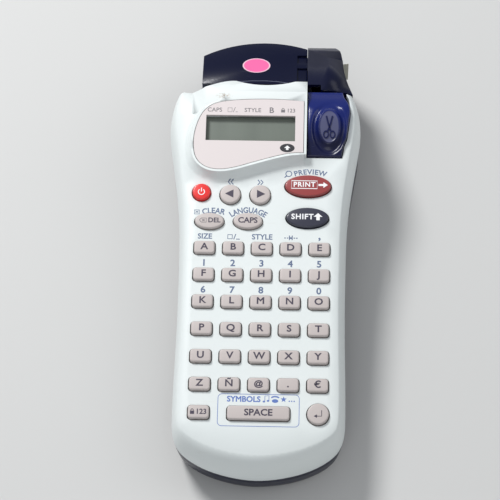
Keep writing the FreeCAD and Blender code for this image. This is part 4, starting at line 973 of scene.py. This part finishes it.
as_plain_mesh(ribs)
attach(ribs, "battery_door")


# ---- Tape, cassette and drive ----
# Off-white tape runs from the grey cassette between the thermal head and the rubber platen, past
# the blade and out of the right far corner. A small motor turns the platen through two gears.

tape_white = Finish("tape_white", IOR=1.45)
weave = tape_white.noise(1.4)
tape_white.colour(tape_white.blend(weave, (0.66, 0.65, 0.55, 1.0), (0.58, 0.57, 0.47, 1.0)))
tape_white.rough((0.40 + weave * 0.12).kept())
tape_white.bump(weave, 0.006)
dress("label_strip", tape_white.material)
wound = Finish("wound_tape", IOR=1.45)
turns = wound.noise(0.5, 2.0, (1.0, 1.0, 0.1))
wound.colour(wound.blend(turns, (0.66, 0.65, 0.55, 1.0), (0.45, 0.44, 0.36, 1.0)))
wound.rough((0.45 + turns * 0.12).kept())
wound.bump(turns, 0.02)
dress("tape_roll", wound.material)
finished("tape_cassette", "cassette", "casing",
         moulded("cassette_grey", (0.20, 0.21, 0.23, 1.0), (0.26, 0.27, 0.29, 1.0), 0.42, 0.5).material, 0.25)
dress("print_head", plated("head_plate", (0.30, 0.31, 0.33, 1.0), (0.42, 0.43, 0.45, 1.0), 0.30))
rubber_black = Finish("rubber_black")
pores = rubber_black.noise(0.35, 2.0)
rubber_black.colour(rubber_black.blend(pores, (0.020, 0.020, 0.022, 1.0), (0.045, 0.045, 0.05, 1.0)))
rubber_black.rough((0.62 + pores * 0.15).kept())
rubber_black.bump(pores, 0.02)
dress("platen_roller", rubber_black.material)
dress("motor_pinion", plated("pinion_brass", (0.55, 0.40, 0.16, 1.0), (0.70, 0.54, 0.26, 1.0), 0.28))
can_metal, can_bright = (0.48, 0.49, 0.51, 1.0), (0.62, 0.63, 0.65, 1.0)
dress("motor", plated("motor_can", can_metal, can_bright, 0.30, 2.0, (1.0, 1.0, 0.1)))


# ---- Board, key sheet and cells ----
# A silicone sheet of domes lies on the green board under the keys. Four sleeved cells lie side by
# side under them, between plated contacts.

silicone = Finish("silicone")
bloom = silicone.noise(3.0)
silicone.colour(silicone.blend(bloom, (0.42, 0.42, 0.43, 1.0), (0.50, 0.50, 0.51, 1.0)))
silicone.rough((0.55 + bloom * 0.15).kept())
silicone.bump(silicone.noise(0.4), 0.01)
dress("key_mat", silicone.material)
solder_mask = Finish("solder_mask", Coat_Weight=0.3)
copper = solder_mask.band(solder_mask.noise(1.6, 0.0, (1.0, 0.15, 1.0)), 0.52, 0.56)
solder_mask.colour(solder_mask.blend(copper, (0.012, 0.10, 0.03, 1.0), (0.04, 0.20, 0.07, 1.0)))
solder_mask.rough((0.30 + copper * 0.1).kept())
solder_mask.bump(copper, 0.03)
dress("circuit_board", solder_mask.material)
sleeve = Finish("cell_sleeve", Coat_Weight=0.5)
band_mask = sleeve.band(sleeve.add("SeparateXYZ", None, {0: sleeve.place}, out=1), -0.052, -0.0515)
sleeve.colour(sleeve.blend(band_mask, (0.65, 0.33, 0.08, 1.0), (0.03, 0.03, 0.035, 1.0)))
sleeve.rough((0.28 + sleeve.noise(3.0) * 0.1).kept())
sleeve.bump(sleeve.noise(0.6), 0.005)
dress("batteries", sleeve.material)
dress("battery_contacts", plated("contact_nickel", (0.56, 0.55, 0.52, 1.0), (0.68, 0.67, 0.64, 1.0), 0.22))
